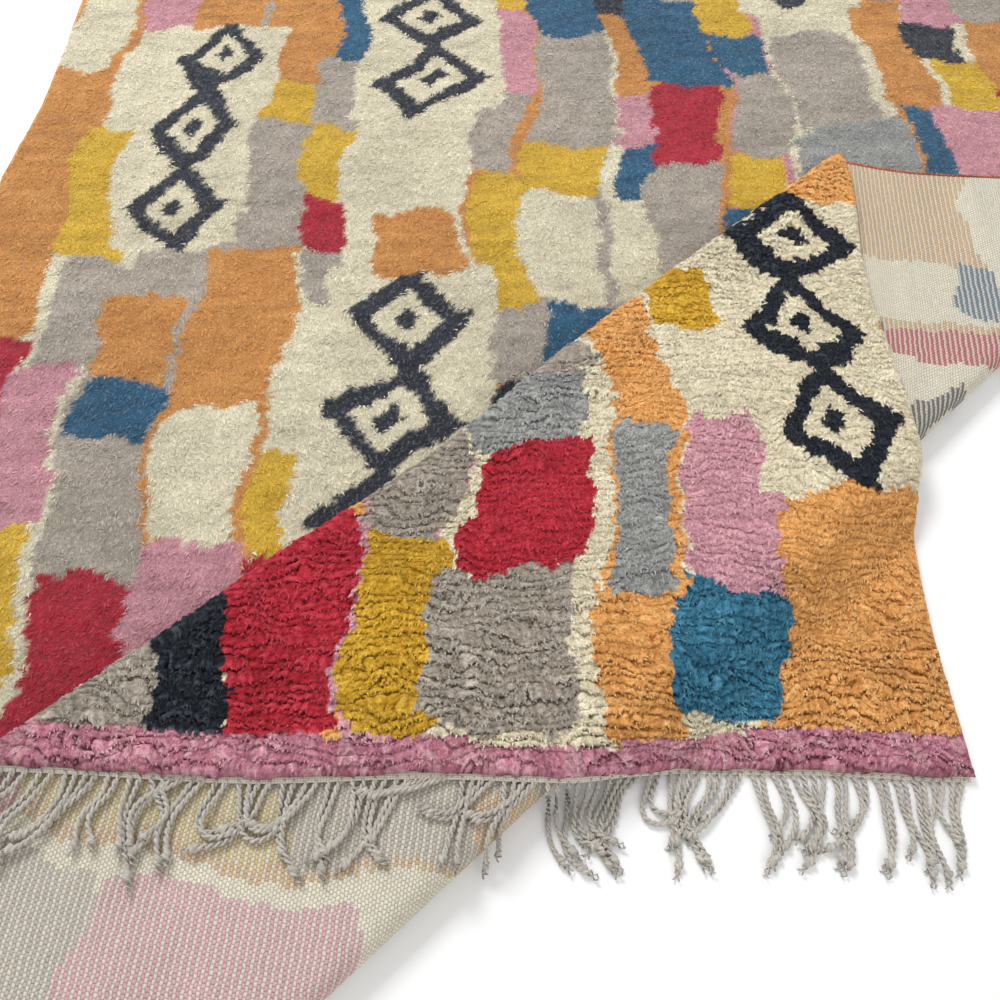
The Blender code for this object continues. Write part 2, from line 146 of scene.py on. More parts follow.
def looked_up(table, place):
    """A table's second column at a place, eased between its rows."""
    places, shifts = table[:, 0], table[:, 1]
    at = np.clip(np.searchsorted(places, place) - 1, 0, len(places) - 2)
    share = smooth((place - places[at]) / (places[at + 1] - places[at]))
    return shifts[at] + (shifts[at + 1] - shifts[at]) * share


def edge_shift(table, place):
    """An edge's wander, straight between places EDGE_STEP apart."""
    low = np.floor(place / EDGE_STEP) * EDGE_STEP
    share = (place - low) / EDGE_STEP
    return looked_up(table, low) * (1 - share) + looked_up(table, low + EDGE_STEP) * share


def slide(u, v):
    """How far a point of the flat rug slides along the creases for the edges' wander."""
    across = (WIDTH / 2 - u) / WIDTH
    away = (v + LENGTH / 2) / LENGTH
    reach = np.clip(v + LENGTH / 2, 0.0, LENGTH)
    side = np.clip(WIDTH / 2 - u, 0.0, WIDTH)
    right = edge_shift(RIGHT_EDGE, reach) * (1 - across)
    left = edge_shift(LEFT_EDGE, reach) * across
    far = edge_shift(FAR_EDGE, side) * away
    near = edge_shift(NEAR_EDGE, side) * (1 - away)
    return (right - left) / ALONG[0] + (far - near) / ALONG[1]


def inward_of(u, v):
    """Flat distance inward of the folded corner, square to the creases."""
    return (CORNER[0] - u) * OUTWARD[0] + (CORNER[1] - v) * OUTWARD[1]


def on_section(inward):
    """Where the cloth's back lies: out, up and heading."""
    travel = LOWER_FOLD - inward
    out, up, heading = travel.copy(), np.zeros_like(travel), np.zeros_like(travel)
    for start in STARTS.values():
        here = travel > start.travel
        moved = advanced(start.out, start.up, start.heading, start.curve, travel - start.travel)
        out, up, heading = (np.where(here, new, old) for new, old in zip(moved, (out, up, heading)))
    return out, up, heading


def placed(x, y, height):
    """World places over the floor plan, with the layers' unevenness."""
    swell = SWELL * 0.5 * (np.sin(x * 9.0 + y * 4.0) + np.sin(y * 7.0 - x * 5.0 + 1.3))
    return np.stack((x, y, height * (1 + swell)), axis=-1)


def folded(u, v, height):
    """Where points of the flat rug lie once folded, height being over its back."""
    u, v, height = np.broadcast_arrays(*(np.asarray(x, dtype=float) for x in (u, v, height)))
    inward = inward_of(u, v)
    along = (u - CORNER[0]) * ALONG[0] + (v - CORNER[1]) * ALONG[1] + slide(u, v)
    out, up, heading = on_section(inward)
    travel = LOWER_FOLD - inward
    layered = (travel >= STARTS["back run"].travel) & (travel <= STARTS["drop over"].travel)
    bow = looked_up(UPPER_BOW, along) * np.where(layered, smooth(-out / BACK_RUN), 0.0)
    out = out + bow - np.sin(heading) * height
    up = up + np.cos(heading) * height
    x = CORNER[0] + OUTWARD[0] * (out - LOWER_FOLD) + ALONG[0] * along
    y = CORNER[1] + OUTWARD[1] * (out - LOWER_FOLD) + ALONG[1] * along
    return placed(x, y, up)


# The pattern
CREAM, APRICOT, GREY, COOL_GREY, NAVY, BLUE, RED, PINK, ROSE, YELLOW = range(10)
PALETTE = np.array([
    (0.840, 0.775, 0.585),
    (0.690, 0.335, 0.106),
    (0.500, 0.440, 0.375),
    (0.400, 0.400, 0.385),
    (0.036, 0.042, 0.060),
    (0.036, 0.142, 0.250),
    (0.510, 0.024, 0.052),
    (0.600, 0.245, 0.315),
    (0.700, 0.360, 0.410),
    (0.770, 0.505, 0.063),
])


def repainted(changes):
    """The palette with some of its dyes changed."""
    palette = PALETTE.copy()
    for dye, colour in changes.items():
        palette[dye] = colour
    return palette


BACK_PALETTE = repainted({
    APRICOT: (0.640, 0.400, 0.180),
    NAVY: (0.035, 0.040, 0.055),
    YELLOW: (0.660, 0.500, 0.200),
})
CORNER_PALETTE = repainted({
    CREAM: (0.840, 0.745, 0.540),
    APRICOT: (0.840, 0.410, 0.132),
    GREY: (0.425, 0.370, 0.305),
    COOL_GREY: (0.370, 0.370, 0.355),
    NAVY: (0.014, 0.019, 0.029),
    BLUE: (0.050, 0.205, 0.312),
    RED: (0.505, 0.029, 0.050),
    YELLOW: (0.690, 0.400, 0.038),
})

Column = namedtuple("Column", "right ground accents")
COLUMNS = (
    Column(-0.735, APRICOT, (CREAM, BLUE, GREY, RED)),
    Column(-0.640, CREAM, (GREY, YELLOW, ROSE, APRICOT)),
    Column(-0.530, GREY, (BLUE, CREAM, APRICOT, RED)),
    Column(-0.400, APRICOT, (YELLOW, ROSE, CREAM, GREY)),
    Column(-0.330, CREAM, (BLUE, RED, YELLOW, GREY)),
    Column(-0.155, CREAM, (GREY, APRICOT, ROSE)),
    Column(-0.075, APRICOT, (NAVY, GREY, ROSE, YELLOW)),
    Column(0.045, GREY, (CREAM, YELLOW, BLUE, APRICOT)),
    Column(0.115, CREAM, (BLUE, NAVY, ROSE, APRICOT)),
    Column(0.225, APRICOT, (RED, BLUE, CREAM, GREY)),
    Column(0.310, ROSE, (CREAM, YELLOW, GREY, BLUE)),
    Column(0.480, CREAM, (GREY, RED, BLUE, COOL_GREY)),
    Column(0.560, APRICOT, (COOL_GREY, RED, BLUE)),
    Column(0.660, CREAM, (YELLOW, BLUE, NAVY, ROSE)),
    Column(0.850, APRICOT, (CREAM, GREY, RED, APRICOT)),
)
Block = namedtuple("Block", "u v width height colour")
BLOCK_SHORTEST = 0.09
BLOCK_LONGEST = 0.26
BLOCK_SHARE = 0.75
BLOCK_ROUNDING = 10

Ladder = namedtuple("Ladder", "u start end width pitch colour")
LADDERS = (
    Ladder(-0.585, 0.06, 0.54, 0.130, 0.160, NAVY),
    Ladder(-0.245, -0.62, 0.02, 0.150, 0.160, NAVY),
    Ladder(-0.245, 0.33, 0.97, 0.150, 0.160, NAVY),
    Ladder(0.395, -0.46, 0.18, 0.140, 0.160, NAVY),
    Ladder(0.395, 0.60, 1.08, 0.140, 0.160, NAVY),
    Ladder(0.755, -0.90, -0.45, 0.150, 0.150, NAVY),
)
LADDER_FIELD = 1.5
LOZENGE_INSIDE = 0.66
LOZENGE_OUTSIDE = 1.16
LOZENGE_EYE = 0.26


def laid_blocks():
    """Blocks of colour laid one after another along each column, with gaps left between some."""
    draw = random.Random(3)
    blocks = []
    left = -WIDTH / 2
    for column in COLUMNS:
        width = column.right - left
        v = -LENGTH / 2 + draw.uniform(0.0, 0.06)
        step = draw.randrange(9)
        while v < LENGTH / 2:
            height = draw.uniform(BLOCK_SHORTEST, BLOCK_LONGEST)
            if draw.random() < BLOCK_SHARE:
                u = left + width / 2 + draw.uniform(-0.015, 0.015)
                colour = column.accents[step % len(column.accents)]
                blocks.append(Block(u, v + height / 2, width * draw.uniform(0.75, 1.25), height, colour))
                step += draw.choice((1, 1, 2))
            v += height
        left = column.right
    return blocks


BLOCKS = laid_blocks()


def hashed(*whole):
    """Numbers from 0 to 1 that are the same each time for the same whole numbers."""
    whole = np.broadcast_arrays(*whole)
    mixed = np.zeros(whole[0].shape, dtype=np.uint32)
    for step, value in enumerate(whole):
        mixed = mixed ^ (np.asarray(value).astype(np.int64) & 0xFFFFFFFF).astype(np.uint32)
        mixed = mixed * np.uint32(2654435761) + np.uint32(40503 + 977 * step)
        mixed = mixed ^ (mixed >> np.uint32(15))
        mixed = mixed * np.uint32(2246822519)
        mixed = mixed ^ (mixed >> np.uint32(13))
    return mixed.astype(np.float64) / 4294967295.0


def soft_noise(x, y, salt):
    """Smooth noise from 0 to 1 whose lumps are one unit apart."""
    low_x, low_y = np.floor(x), np.floor(y)
    share_x, share_y = smooth(x - low_x), smooth(y - low_y)
    near = hashed(low_x, low_y, salt) * (1 - share_x) + hashed(low_x + 1, low_y, salt) * share_x
    far = hashed(low_x, low_y + 1, salt) * (1 - share_x) + hashed(low_x + 1, low_y + 1, salt) * share_x
    return near * (1 - share_y) + far * share_y


def swing(x, y, salt):
    """Smooth noise from -0.5 to 0.5."""
    return soft_noise(x, y, salt) - 0.5


def pattern(u, v):
    """The knots' colours, as rows of the palette, at places on the flat rug."""
    column = np.floor((u + WIDTH / 2) / KNOT_WIDTH)
    row = np.floor((v + LENGTH / 2) / ROW_PITCH)
    u = (column + 0.5) * KNOT_WIDTH - WIDTH / 2
    v = (row + 0.5) * ROW_PITCH - LENGTH / 2
    ragged = (hashed(row, np.floor(u / 0.09)) - 0.5) * 0.004
    ragged = ragged + (hashed(np.floor(row / 3), np.floor(u / 0.13) + 50) - 0.5) * 0.007
    bent_u = u + ragged + 0.012 * np.sin(v * 11 + u * 3) + 0.007 * np.sin(v * 31 + u * 17 + 1.0)
    bent_v = v + 0.012 * np.sin(u * 19 + v * 5) + 0.005 * np.sin(u * 71 + 2.0)
    found = np.full(np.shape(u), COLUMNS[-1].ground)
    left = -WIDTH
    for stripe in COLUMNS:
        found = np.where((bent_u >= left) & (bent_u < stripe.right), stripe.ground, found)
        left = stripe.right
    for block in BLOCKS:
        across = np.abs(bent_u - block.u) / (block.width / 2)
        length = np.abs(bent_v - block.v) / (block.height / 2)
        inside = across ** BLOCK_ROUNDING + length ** BLOCK_ROUNDING < 1
        found = np.where(inside, block.colour, found)
    for ladder in LADDERS:
        across = np.abs(bent_u - ladder.u) / (ladder.width / 2)
        field = (bent_v > ladder.start) & (bent_v < ladder.end) & (across < LADDER_FIELD)
        ring = across + np.abs((bent_v - ladder.start) / ladder.pitch % 1 - 0.5) * 2
        found = np.where(field, CREAM, found)
        drawn = ((ring > LOZENGE_INSIDE) & (ring < LOZENGE_OUTSIDE)) | (ring < LOZENGE_EYE)
        found = np.where(field & drawn, ladder.colour, found)
    edge = BORDER * (0.92 + 0.16 * np.sin(u * 9.0 + 1.0))
    border = v + LENGTH / 2 < edge
    paler = soft_noise((u + 0.6 * v) / 0.0055, v / 0.016, 5) > 0.62
    return np.where(border, np.where(paler, ROSE, PINK), found)


def dyed(u, v, spread=0.10, salt=0, palette=PALETTE):
    """Linear colours of the knots, each a little lighter or darker than its dye."""
    column = np.floor((u + WIDTH / 2) / KNOT_WIDTH)
    row = np.floor((v + LENGTH / 2) / ROW_PITCH)
    colour = palette[pattern(u, v)]
    light = 1 + spread * 2 * (hashed(column, row, salt) - 0.5)
    tone = 1 + 0.16 * swing(u / 0.09, v / 0.05, 6)
    tone = tone + 0.14 * swing(u / 0.16, v / 0.011, 7)
    return np.clip(colour * (light * tone)[..., None], 0, 1)


BRIGHTEST_SHADE = 1.16
BRIGHTEST = 0.95
RICHER = 0.8


def deepened(colour, shade):
    """Colours made darker by a painted shade, and richer where that painted shade is dark."""
    shade = np.minimum(shade, BRIGHTEST_SHADE)[:, None]
    return np.clip(colour ** (1 + RICHER * (1 - shade)) * shade, 0, BRIGHTEST)


def glinting(colour, light):
    """Colours with a painted glint of light added, the darker dyes the most."""
    dark = np.clip(1 - colour.max(axis=1) / 0.8, 0.0, 1.0)
    return colour + (light * dark)[:, None]


# Mesh helpers
def new_piece(name, points, faces, materials, face_material=None):
    """A mesh object from arrays of points and of faces that all have as many corners."""
    mesh = bpy.data.meshes.new(name)
    points = np.ascontiguousarray(points, dtype=np.float32).reshape(-1, 3)
    mesh.vertices.add(len(points))
    mesh.vertices.foreach_set("co", points.ravel())
    corners = np.concatenate([np.asarray(f, dtype=np.int32).ravel() for f in faces])
    totals = np.concatenate([np.full(len(f), np.shape(f)[1], dtype=np.int32) for f in faces])
    starts = np.concatenate(([0], np.cumsum(totals)[:-1])).astype(np.int32)
    mesh.loops.add(len(corners))
    mesh.loops.foreach_set("vertex_index", corners)
    mesh.polygons.add(len(totals))
    mesh.polygons.foreach_set("loop_start", starts)
    if face_material is not None:
        mesh.polygons.foreach_set("material_index", np.asarray(face_material, dtype=np.int32))
    mesh.polygons.foreach_set("use_smooth", np.full(len(totals), True))
    mesh.update(calc_edges=True)
    for finish in materials:
        mesh.materials.append(finish)
    made = bpy.data.objects.new(name, mesh)
    bpy.context.scene.collection.objects.link(made)
    return made


def point_colours(piece, colours):
    """A colour for each point of a piece, in the attribute named dye; on the wool pieces it holds painted
    shade and painted glints as well as the dye.
    """
    layer = piece.data.color_attributes.new("dye", "FLOAT_COLOR", "POINT")
    filled = np.ones((len(piece.data.vertices), 4), dtype=np.float32)
    filled[:, :3] = np.reshape(colours, (-1, 3))
    layer.data.foreach_set("color", filled.ravel())


def point_vectors(piece, name, vectors):
    """A named vector for each point of a piece."""
    layer = piece.data.attributes.new(name, "FLOAT_VECTOR", "POINT")
    layer.data.foreach_set("vector", np.ascontiguousarray(vectors, dtype=np.float32).ravel())


def face_colours(piece, colours):
    """A dye for each face of a piece that has only quads."""
    layer = piece.data.color_attributes.new("dye", "FLOAT_COLOR", "CORNER")
    filled = np.ones((len(colours), 4, 4), dtype=np.float32)
    filled[:, :, :3] = colours[:, None, :]
    layer.data.foreach_set("color", filled.ravel())


MAP_EDGE = 0.001


def bake_map(piece, spots):
    """The flat map that a baked picture of this piece would use, from a place per point."""
    layer = piece.data.uv_layers.new(name="OFBake")
    corners = np.empty(len(piece.data.loops), dtype=np.int32)
    piece.data.loops.foreach_get("vertex_index", corners)
    layer.data.foreach_set("uv", np.asarray(spots, dtype=np.float32)[corners].ravel())


def flat_spot(u, v):
    """Places of the flat rug as shares of its size, kept just inside the map."""
    across = np.clip(u / WIDTH + 0.5, MAP_EDGE, 1 - MAP_EDGE)
    down = np.clip(v / LENGTH + 0.5, MAP_EDGE, 1 - MAP_EDGE)
    return np.stack((across, down), axis=-1)


# Materials
BARE_KNOT = (0.80, 0.74, 0.62)
WEFT = (0.72, 0.68, 0.59)
HEADING_YARN = (0.74, 0.68, 0.57)
WARP_PITCH = 0.0026
HEADING_ROW = 0.0018
SPECULAR = 0.08
SHEEN_ROUGHNESS = 0.6


class Nodes:
    """A short way to wire a material's nodes."""

    def __init__(self, name):
        self.material = bpy.data.materials.new(name)
        self.material.use_nodes = True
        self.tree = self.material.node_tree
        self.shader = self.tree.nodes["Principled BSDF"]

    def put(self, socket, value):
        if hasattr(value, "is_output"):
            self.tree.links.new(value, socket)
        else:
            socket.default_value = value

    def node(self, kind, output=0, settings=(), **inputs):
        made = self.tree.nodes.new("ShaderNode" + kind)
        for key, value in dict(settings).items():
            setattr(made, key, value)
        for key, value in inputs.items():
            place = int(key[1:]) if key[1:].isdigit() else key.replace("_", " ")
            self.put(made.inputs[place], value)
        return made.outputs[output]

    def math(self, operation, first, second=0.0):
        return self.node("Math", settings={"operation": operation}, i0=first, i1=second)

    def plus(self, first, second):
        return self.math("ADD", first, second)

    def times(self, first, second):
        return self.math("MULTIPLY", first, second)

    def wave(self, value, pitch):
        """Bumps from 0 to 1 that are a pitch apart."""
        return self.math("ABSOLUTE", self.math("SINE", self.times(value, math.pi / pitch)))

    def mix(self, share, first, second, blend="MIX"):
        made = {"data_type": "RGBA", "blend_type": blend}
        return self.node("Mix", 2, made, i0=share, i6=first, i7=second)

    def toned(self, colour, tone):
        """A colour made lighter or darker by a number."""
        shade = self.node("CombineColor", Red=tone, Green=tone, Blue=tone)
        return self.mix(1.0, colour, shade, "MULTIPLY")

    def parts(self, vector):
        """The three numbers of a vector."""
        return self.node("SeparateXYZ", Vector=vector).node.outputs

    def attribute(self, name, output="Vector"):
        made = self.tree.nodes.new("ShaderNodeAttribute")
        made.attribute_name = name
        return made.outputs[output]

    # The colour attribute named dye, which on the wool pieces also holds painted shade and painted glints.
    def dye(self):
        return self.attribute("dye", "Color")

    def noise(self, place, scale, detail=2.0, roughness=0.5, distortion=0.0):
        """Noise over a place that is scaled by three numbers."""
        spread = self.node("Mapping", Vector=place, Scale=scale)
        return self.node(
            "TexNoise", Vector=spread, Scale=1.0, Detail=detail, Roughness=roughness, Distortion=distortion
        )

    def ranged(self, value, low, high, to_low=0.0, to_high=1.0):
        return self.node("MapRange", Value=value, From_Min=low, From_Max=high, To_Min=to_low, To_Max=to_high)

    def tone(self, noise, dark, light):
        """A tone from dark to light over the middle of a noise's range."""
        return self.ranged(noise, 0.3, 0.7, dark, light)

    def finish(self, colour, roughness=0.95, sheen=0.0, height=None, strength=0.5, distance=0.001):
        self.put(self.shader.inputs["Base Color"], colour)
        self.shader.inputs["Roughness"].default_value = roughness
        self.shader.inputs["Specular IOR Level"].default_value = SPECULAR
        self.shader.inputs["Sheen Weight"].default_value = sheen
        self.shader.inputs["Sheen Roughness"].default_value = SHEEN_ROUGHNESS
        if height is not None:
            bump = self.node("Bump", Strength=strength, Distance=distance, Height=height)
            self.put(self.shader.inputs["Normal"], bump)
        return self.material


def pile_ground_material():
    """The pile under the locks: the dye with soft streaks along the lean."""
    n = Nodes("pile_ground")
    streaks = n.noise(n.attribute("weave"), (420.0, 90.0, 90.0), 3.0, 0.6)
    return n.finish(n.toned(n.dye(), n.tone(streaks, 0.75, 1.08)), 1.0, 0.1, streaks, 0.8, 0.002)


def strand_material(name, dark, light, scale):
    """Fibres and wisps of wool: streaks running along each one."""
    n = Nodes(name)
    streaks = n.noise(n.attribute("lock"), scale, 3.0, 0.6)
    return n.finish(n.toned(n.dye(), n.tone(streaks, dark, light)), 1.0, 0.06, streaks, 0.4, 0.0008)


def brushed_surface_material():
    """The brushed pile: short fine fibres that lie in all directions along the lean."""
    n = Nodes("brushed_surface")
    place = n.attribute("lock")
    fibres = n.noise(place, (620.0, 330.0, 330.0), 3.0, distortion=1.0)
    clumps = n.noise(place, (150.0, 170.0, 170.0))
    tone = n.times(n.tone(fibres, 0.62, 1.16), n.tone(clumps, 0.88, 1.08))
    height = n.plus(fibres, n.times(clumps, 0.9))
    return n.finish(n.toned(n.dye(), tone), 1.0, 0.15, height, 1.0, 0.0028)


def parted_wool_material():
    """The corner's parted pile: fine fibres that swirl with the locks."""
    n = Nodes("parted_wool")
    place = n.attribute("lock")
    fibres = n.noise(place, (900.0, 300.0, 300.0), 3.0, distortion=1.2)
    grain = n.noise(place, (330.0, 330.0, 330.0))
    tone = n.times(n.tone(fibres, 0.70, 1.30), n.tone(grain, 0.86, 1.14))
    height = n.plus(fibres, n.times(grain, 0.7))
    return n.finish(n.toned(n.dye(), tone), 1.0, 0.05, height, 1.0, 0.0020)


def woven_back_material():
    """The back: a row of coloured knots, then the light weft between the rows."""
    n = Nodes("woven_back")
    weave = n.attribute("weave")
    u, v = n.parts(weave)[:2]
    wander = n.math("SUBTRACT", n.noise(weave, (90.0, 60.0, 0.0)), 0.5)
    quiver = n.math("SUBTRACT", n.noise(weave, (260.0, 200.0, 0.0)), 0.5)
    bent = n.plus(n.times(wander, 0.60), n.times(quiver, 0.30))
    row = n.plus(n.math("DIVIDE", v, ROW_PITCH), bent)
    parity = n.times(n.math("FLOOR", n.times(row, 2.0)), 0.5)
    knot_wave = n.wave(n.plus(n.math("DIVIDE", u, KNOT_WIDTH), parity), 1.0)
    row_sine = n.math("SINE", n.times(row, 2 * math.pi))
    is_knot = n.ranged(row_sine, -0.15, 0.25)
    fine = n.noise(weave, (900.0, 900.0, 0.0), 3.0, 0.7)
    knots = n.toned(n.mix(0.22, n.dye(), (*BARE_KNOT, 1.0)), n.tone(fine, 0.56, 1.14))
    weft = n.mix(0.22, n.toned((*WEFT, 1.0), n.tone(fine, 0.68, 1.12)), n.dye())
    row_wave = n.math("ABSOLUTE", row_sine)
    dent = n.times(n.math("POWER", row_wave, 0.6), n.math("POWER", knot_wave, 0.7))
    # Painted shade: darker in the grooves between knots and rows, where the dent is low; the dent also gives
    # the bump.
    colour = n.toned(n.mix(is_knot, weft, knots), n.ranged(dent, 0.0, 0.75, 0.60, 1.06))
    return n.finish(colour, 0.95, 0.05, n.plus(dent, n.times(fine, 0.4)), 0.8, 0.0010)


def yarn_material(name, colour, dark, light):
    """Spun yarn: fibres running along the ply, a little uneven in colour."""
    n = Nodes(name)
    place = n.attribute("lock")
    fibres = n.noise(place, (1.6, 1.6, 0.9), 3.0, 0.6)
    patches = n.noise(place, (0.2, 0.2, 0.11), 1.0)
    tone = n.times(n.tone(fibres, dark, light), n.tone(patches, 0.84, 1.12))
    return n.finish(n.toned((*colour, 1.0), tone), 0.95, 0.25, fibres, 0.6, 0.001)


def heading_material(name, place):
    """The flat-woven band that the strands come out of: warps crossed by fine rows."""
    n = Nodes(name)
    u, v = n.parts(place(n))[:2]
    ribs, rows = n.wave(u, WARP_PITCH), n.wave(v, HEADING_ROW)
    cover = n.times(n.math("POWER", ribs, 0.5), n.math("POWER", rows, 0.5))
    # Painted shade: darker in the grooves between warps and rows, where the cover is low; the cover also
    # gives the bump.
    colour = n.toned((*HEADING_YARN, 1.0), n.ranged(cover, 0.0, 0.8, 0.74, 1.05))
    return n.finish(colour, 0.95, 0.1, cover, 0.8, 0.0008)


def floor_material():
    """The plain pale floor."""
    return Nodes("plain_floor").finish((0.93, 0.93, 0.93, 1.0), 0.9)


PILE_GROUND = pile_ground_material()
WOVEN_BACK = woven_back_material()
CORNER_WOOL = parted_wool_material()
BRUSHED_SURFACE = brushed_surface_material()
FIBRE_WOOL = strand_material("fibre_wool", 0.90, 1.10, (2.4, 2.4, 1.3))
BRUSHED_WOOL = strand_material("brushed_wool", 0.89, 1.11, (2.4, 2.4, 1.0))
FRINGE_YARN = yarn_material("fringe_yarn", (0.58, 0.54, 0.475), 0.66, 1.15)
EDGE_YARN = yarn_material("edge_yarn", (0.66, 0.19, 0.08), 0.62, 1.18)
HEADING_WEAVE = heading_material("heading_weave", lambda n: n.attribute("weave"))
FAR_WEAVE = heading_material("far_weave", lambda n: n.node("TexCoord", "Object"))

# The cloth
PILE_BASE = 0.0125
CORNER_BASE = 0.0100
CLOTH_ROWS = 137
CLOTH_COLUMNS = 122


def on_corner(u, v):
    """1 on the corner that is folded forward and 0 elsewhere, eased past the crease."""
    past = LOWER_FOLD - inward_of(u, v) - STARTS["upper fold"].travel
    return smooth(past / 0.03)


def base_height(u, v):
    """Height over the back of the pile's closed surface, under the locks."""
    height = PILE_BASE + (CORNER_BASE - PILE_BASE) * on_corner(u, v)
    return height + 0.0006 * np.sin(u * 160 + v * 60) * np.sin(v * 190)


def grid_index(columns, rows):
    """Point numbers of a grid and its quads, counter-clockwise seen from above."""
    index = np.arange((columns + 1) * (rows + 1)).reshape(columns + 1, rows + 1)
    quads = np.stack((index[:-1, :-1], index[1:, :-1], index[1:, 1:], index[:-1, 1:]), axis=-1)
    return index, quads.reshape(-1, 4)


def grid_rim(index):
    """The points round a grid's outline, counter-clockwise."""
    return np.concatenate((index[:, 0], index[-1, 1:], index[-2::-1, -1], index[0, -2:0:-1]))


def walls_between(rings):
    """Quads that join closed rings of points, each ring to the next."""
    return [
        np.stack((low, np.roll(low, -1), np.roll(high, -1), high), axis=-1)
        for low, high in zip(rings, rings[1:])
    ]


def make_cloth():
    """The whole cloth as one closed slab: woven back, side walls and pile ground."""
    us = np.linspace(-WIDTH / 2, WIDTH / 2, CLOTH_COLUMNS + 1)
    vs = np.linspace(-LENGTH / 2, LENGTH / 2, CLOTH_ROWS + 1)
    uu, vv = np.meshgrid(us, vs, indexing="ij")
    index, quads = grid_index(CLOTH_COLUMNS, CLOTH_ROWS)
    rim = grid_rim(index)
    rim_u, rim_v = uu.ravel()[rim], vv.ravel()[rim]
    side = np.where(WIDTH / 2 - np.abs(rim_u) < 1e-6, np.sign(rim_u), 0.0)
    end = np.where(LENGTH / 2 - np.abs(rim_v) < 1e-6, np.sign(rim_v), 0.0)
    levels = [(uu.ravel(), vv.ravel(), np.zeros(uu.size))]
    levels.append((uu.ravel(), vv.ravel(), base_height(uu, vv).ravel()))
    rings = [rim]
    for height, lean in ((FOUNDATION, 0.0), (0.0085, 0.0020)):
        start = sum(len(level[0]) for level in levels)
        levels.append((rim_u + lean * side, rim_v + 0.5 * lean * end, np.full(len(rim), height)))
        rings.append(np.arange(len(rim)) + start)
    rings.append(rim + uu.size)
    u, v, height = (np.concatenate(column) for column in zip(*levels))
    walls = walls_between(rings)
    woven = len(quads) + len(walls[0])
    piled = len(quads) + sum(len(wall) for wall in walls[1:])
    faces = [quads[:, ::-1], walls[0], quads + uu.size, *walls[1:]]
    kinds = np.repeat((0, 1), (woven, piled))
    cloth = new_piece("rug_cloth", folded(u, v, height), faces, [WOVEN_BACK, PILE_GROUND], kinds)
    point_colours(cloth, dyed(*held_inside(u, v), 0.06))
    height[uu.size:] = np.maximum(height[uu.size:], FOUNDATION)
    point_vectors(cloth, "weave", np.stack((u, v, height), axis=-1))
    spots = flat_spot(u, v)
    spots[:, 0] = spots[:, 0] * 0.49 + np.where(height > FOUNDATION + 0.001, 0.505, 0.0)
    bake_map(cloth, spots)
    return cloth


def held_inside(u, v):
    """Places pulled just inside the flat rug's outline."""
    edge = 0.001
    u = np.clip(u, -WIDTH / 2 + edge, WIDTH / 2 - edge)
    return u, np.clip(v, -LENGTH / 2 + edge, LENGTH / 2 - edge)


def grid_patch(across, down, kept):
    """Places and quads of the part of a grid over the flat rug that is kept, and its border edges."""
    columns, rows = round(WIDTH / across), round(LENGTH / down)
    us = np.linspace(-WIDTH / 2, WIDTH / 2, columns + 1)
    vs = np.linspace(-LENGTH / 2, LENGTH / 2, rows + 1)
    uu, vv = np.meshgrid(us, vs, indexing="ij")
    quads = grid_index(columns, rows)[1]
    quads = quads[kept(uu.ravel()[quads].mean(axis=1), vv.ravel()[quads].mean(axis=1))]
    used, quads = np.unique(quads, return_inverse=True)
    quads = quads.reshape(-1, 4)
    edges = np.stack((quads, np.roll(quads, -1, axis=1)), axis=-1).reshape(-1, 2)
    forward = edges[:, 0] * len(used) + edges[:, 1]
    backward = edges[:, 1] * len(used) + edges[:, 0]
    return uu.ravel()[used], vv.ravel()[used], quads, edges[~np.isin(forward, backward)]


def skirt(border, count, facing=1):
    """The points of a patch's rim, and the faces of a wall from them down to their copies."""
    rim, edges = np.unique(border, return_inverse=True)
    first, second = edges.reshape(-1, 2)[:, ::facing].T
    return rim, np.stack((rim[first], rim[second], count + second, count + first), axis=1)


BACK_START = -0.020
BACK_OUTSIDE = -0.0004
BACK_INSIDE = 0.0010


def make_woven_back():
    """The back that shows on the turned-over layer, knot by knot, with a narrow skirt."""
    def kept(u, v):
        travel = LOWER_FOLD - inward_of(u, v)
        return (travel > BACK_START) & (travel < STARTS["upper fold"].travel + 0.001)

    u, v, quads, border = grid_patch(KNOT_WIDTH, ROW_PITCH, kept)
    rim, walls = skirt(border, len(u))
    colours = dyed(u[quads].mean(axis=1), v[quads].mean(axis=1), palette=BACK_PALETTE)
    wall_colours = np.full((len(walls), 3), PALETTE[CREAM])
    height = np.repeat((BACK_OUTSIDE, BACK_INSIDE), (len(u), len(rim)))
    u, v = np.concatenate((u, u[rim])), np.concatenate((v, v[rim]))
    piece = new_piece("woven_back", folded(u, v, height), [quads[:, ::-1], walls], [WOVEN_BACK])
    point_vectors(piece, "weave", np.stack((u, v, np.zeros_like(u)), axis=-1))
    face_colours(piece, np.concatenate((colours, wall_colours)))
    bake_map(piece, flat_spot(u, v))
    return piece


# The pile of the folded corner
PILE_MIDDLE = 0.0142
PART_DEPTH = 0.0070
FINE_DEPTH = 0.0022
SOFT_DEPTH = 0.0016
NOSE_STRETCH = 11.0
BAND_PITCH = 0.0112
LOCK_WIDTH = 0.0105
FINE_LOCK_WIDTH = 0.0062
DARKEST_SHADE = 0.16
EDGE_ROUND = 0.008
END_OVERHANG = 0.0050
SIDE_OVERHANG = 0.0030
CORNER_ACROSS = 0.0017
CORNER_DOWN = 0.0016
CORNER_PARTING = -LENGTH / 2 + 0.22
SKIRT_FOOT = 0.003
SKIRT_SHADE = 0.7
SURFACE_GLINT = 0.05


def outline_depth(u, v):
    """Distance of a place on the flat rug to its nearest edge."""
    return np.minimum(WIDTH / 2 - np.abs(u), LENGTH / 2 - np.abs(v))


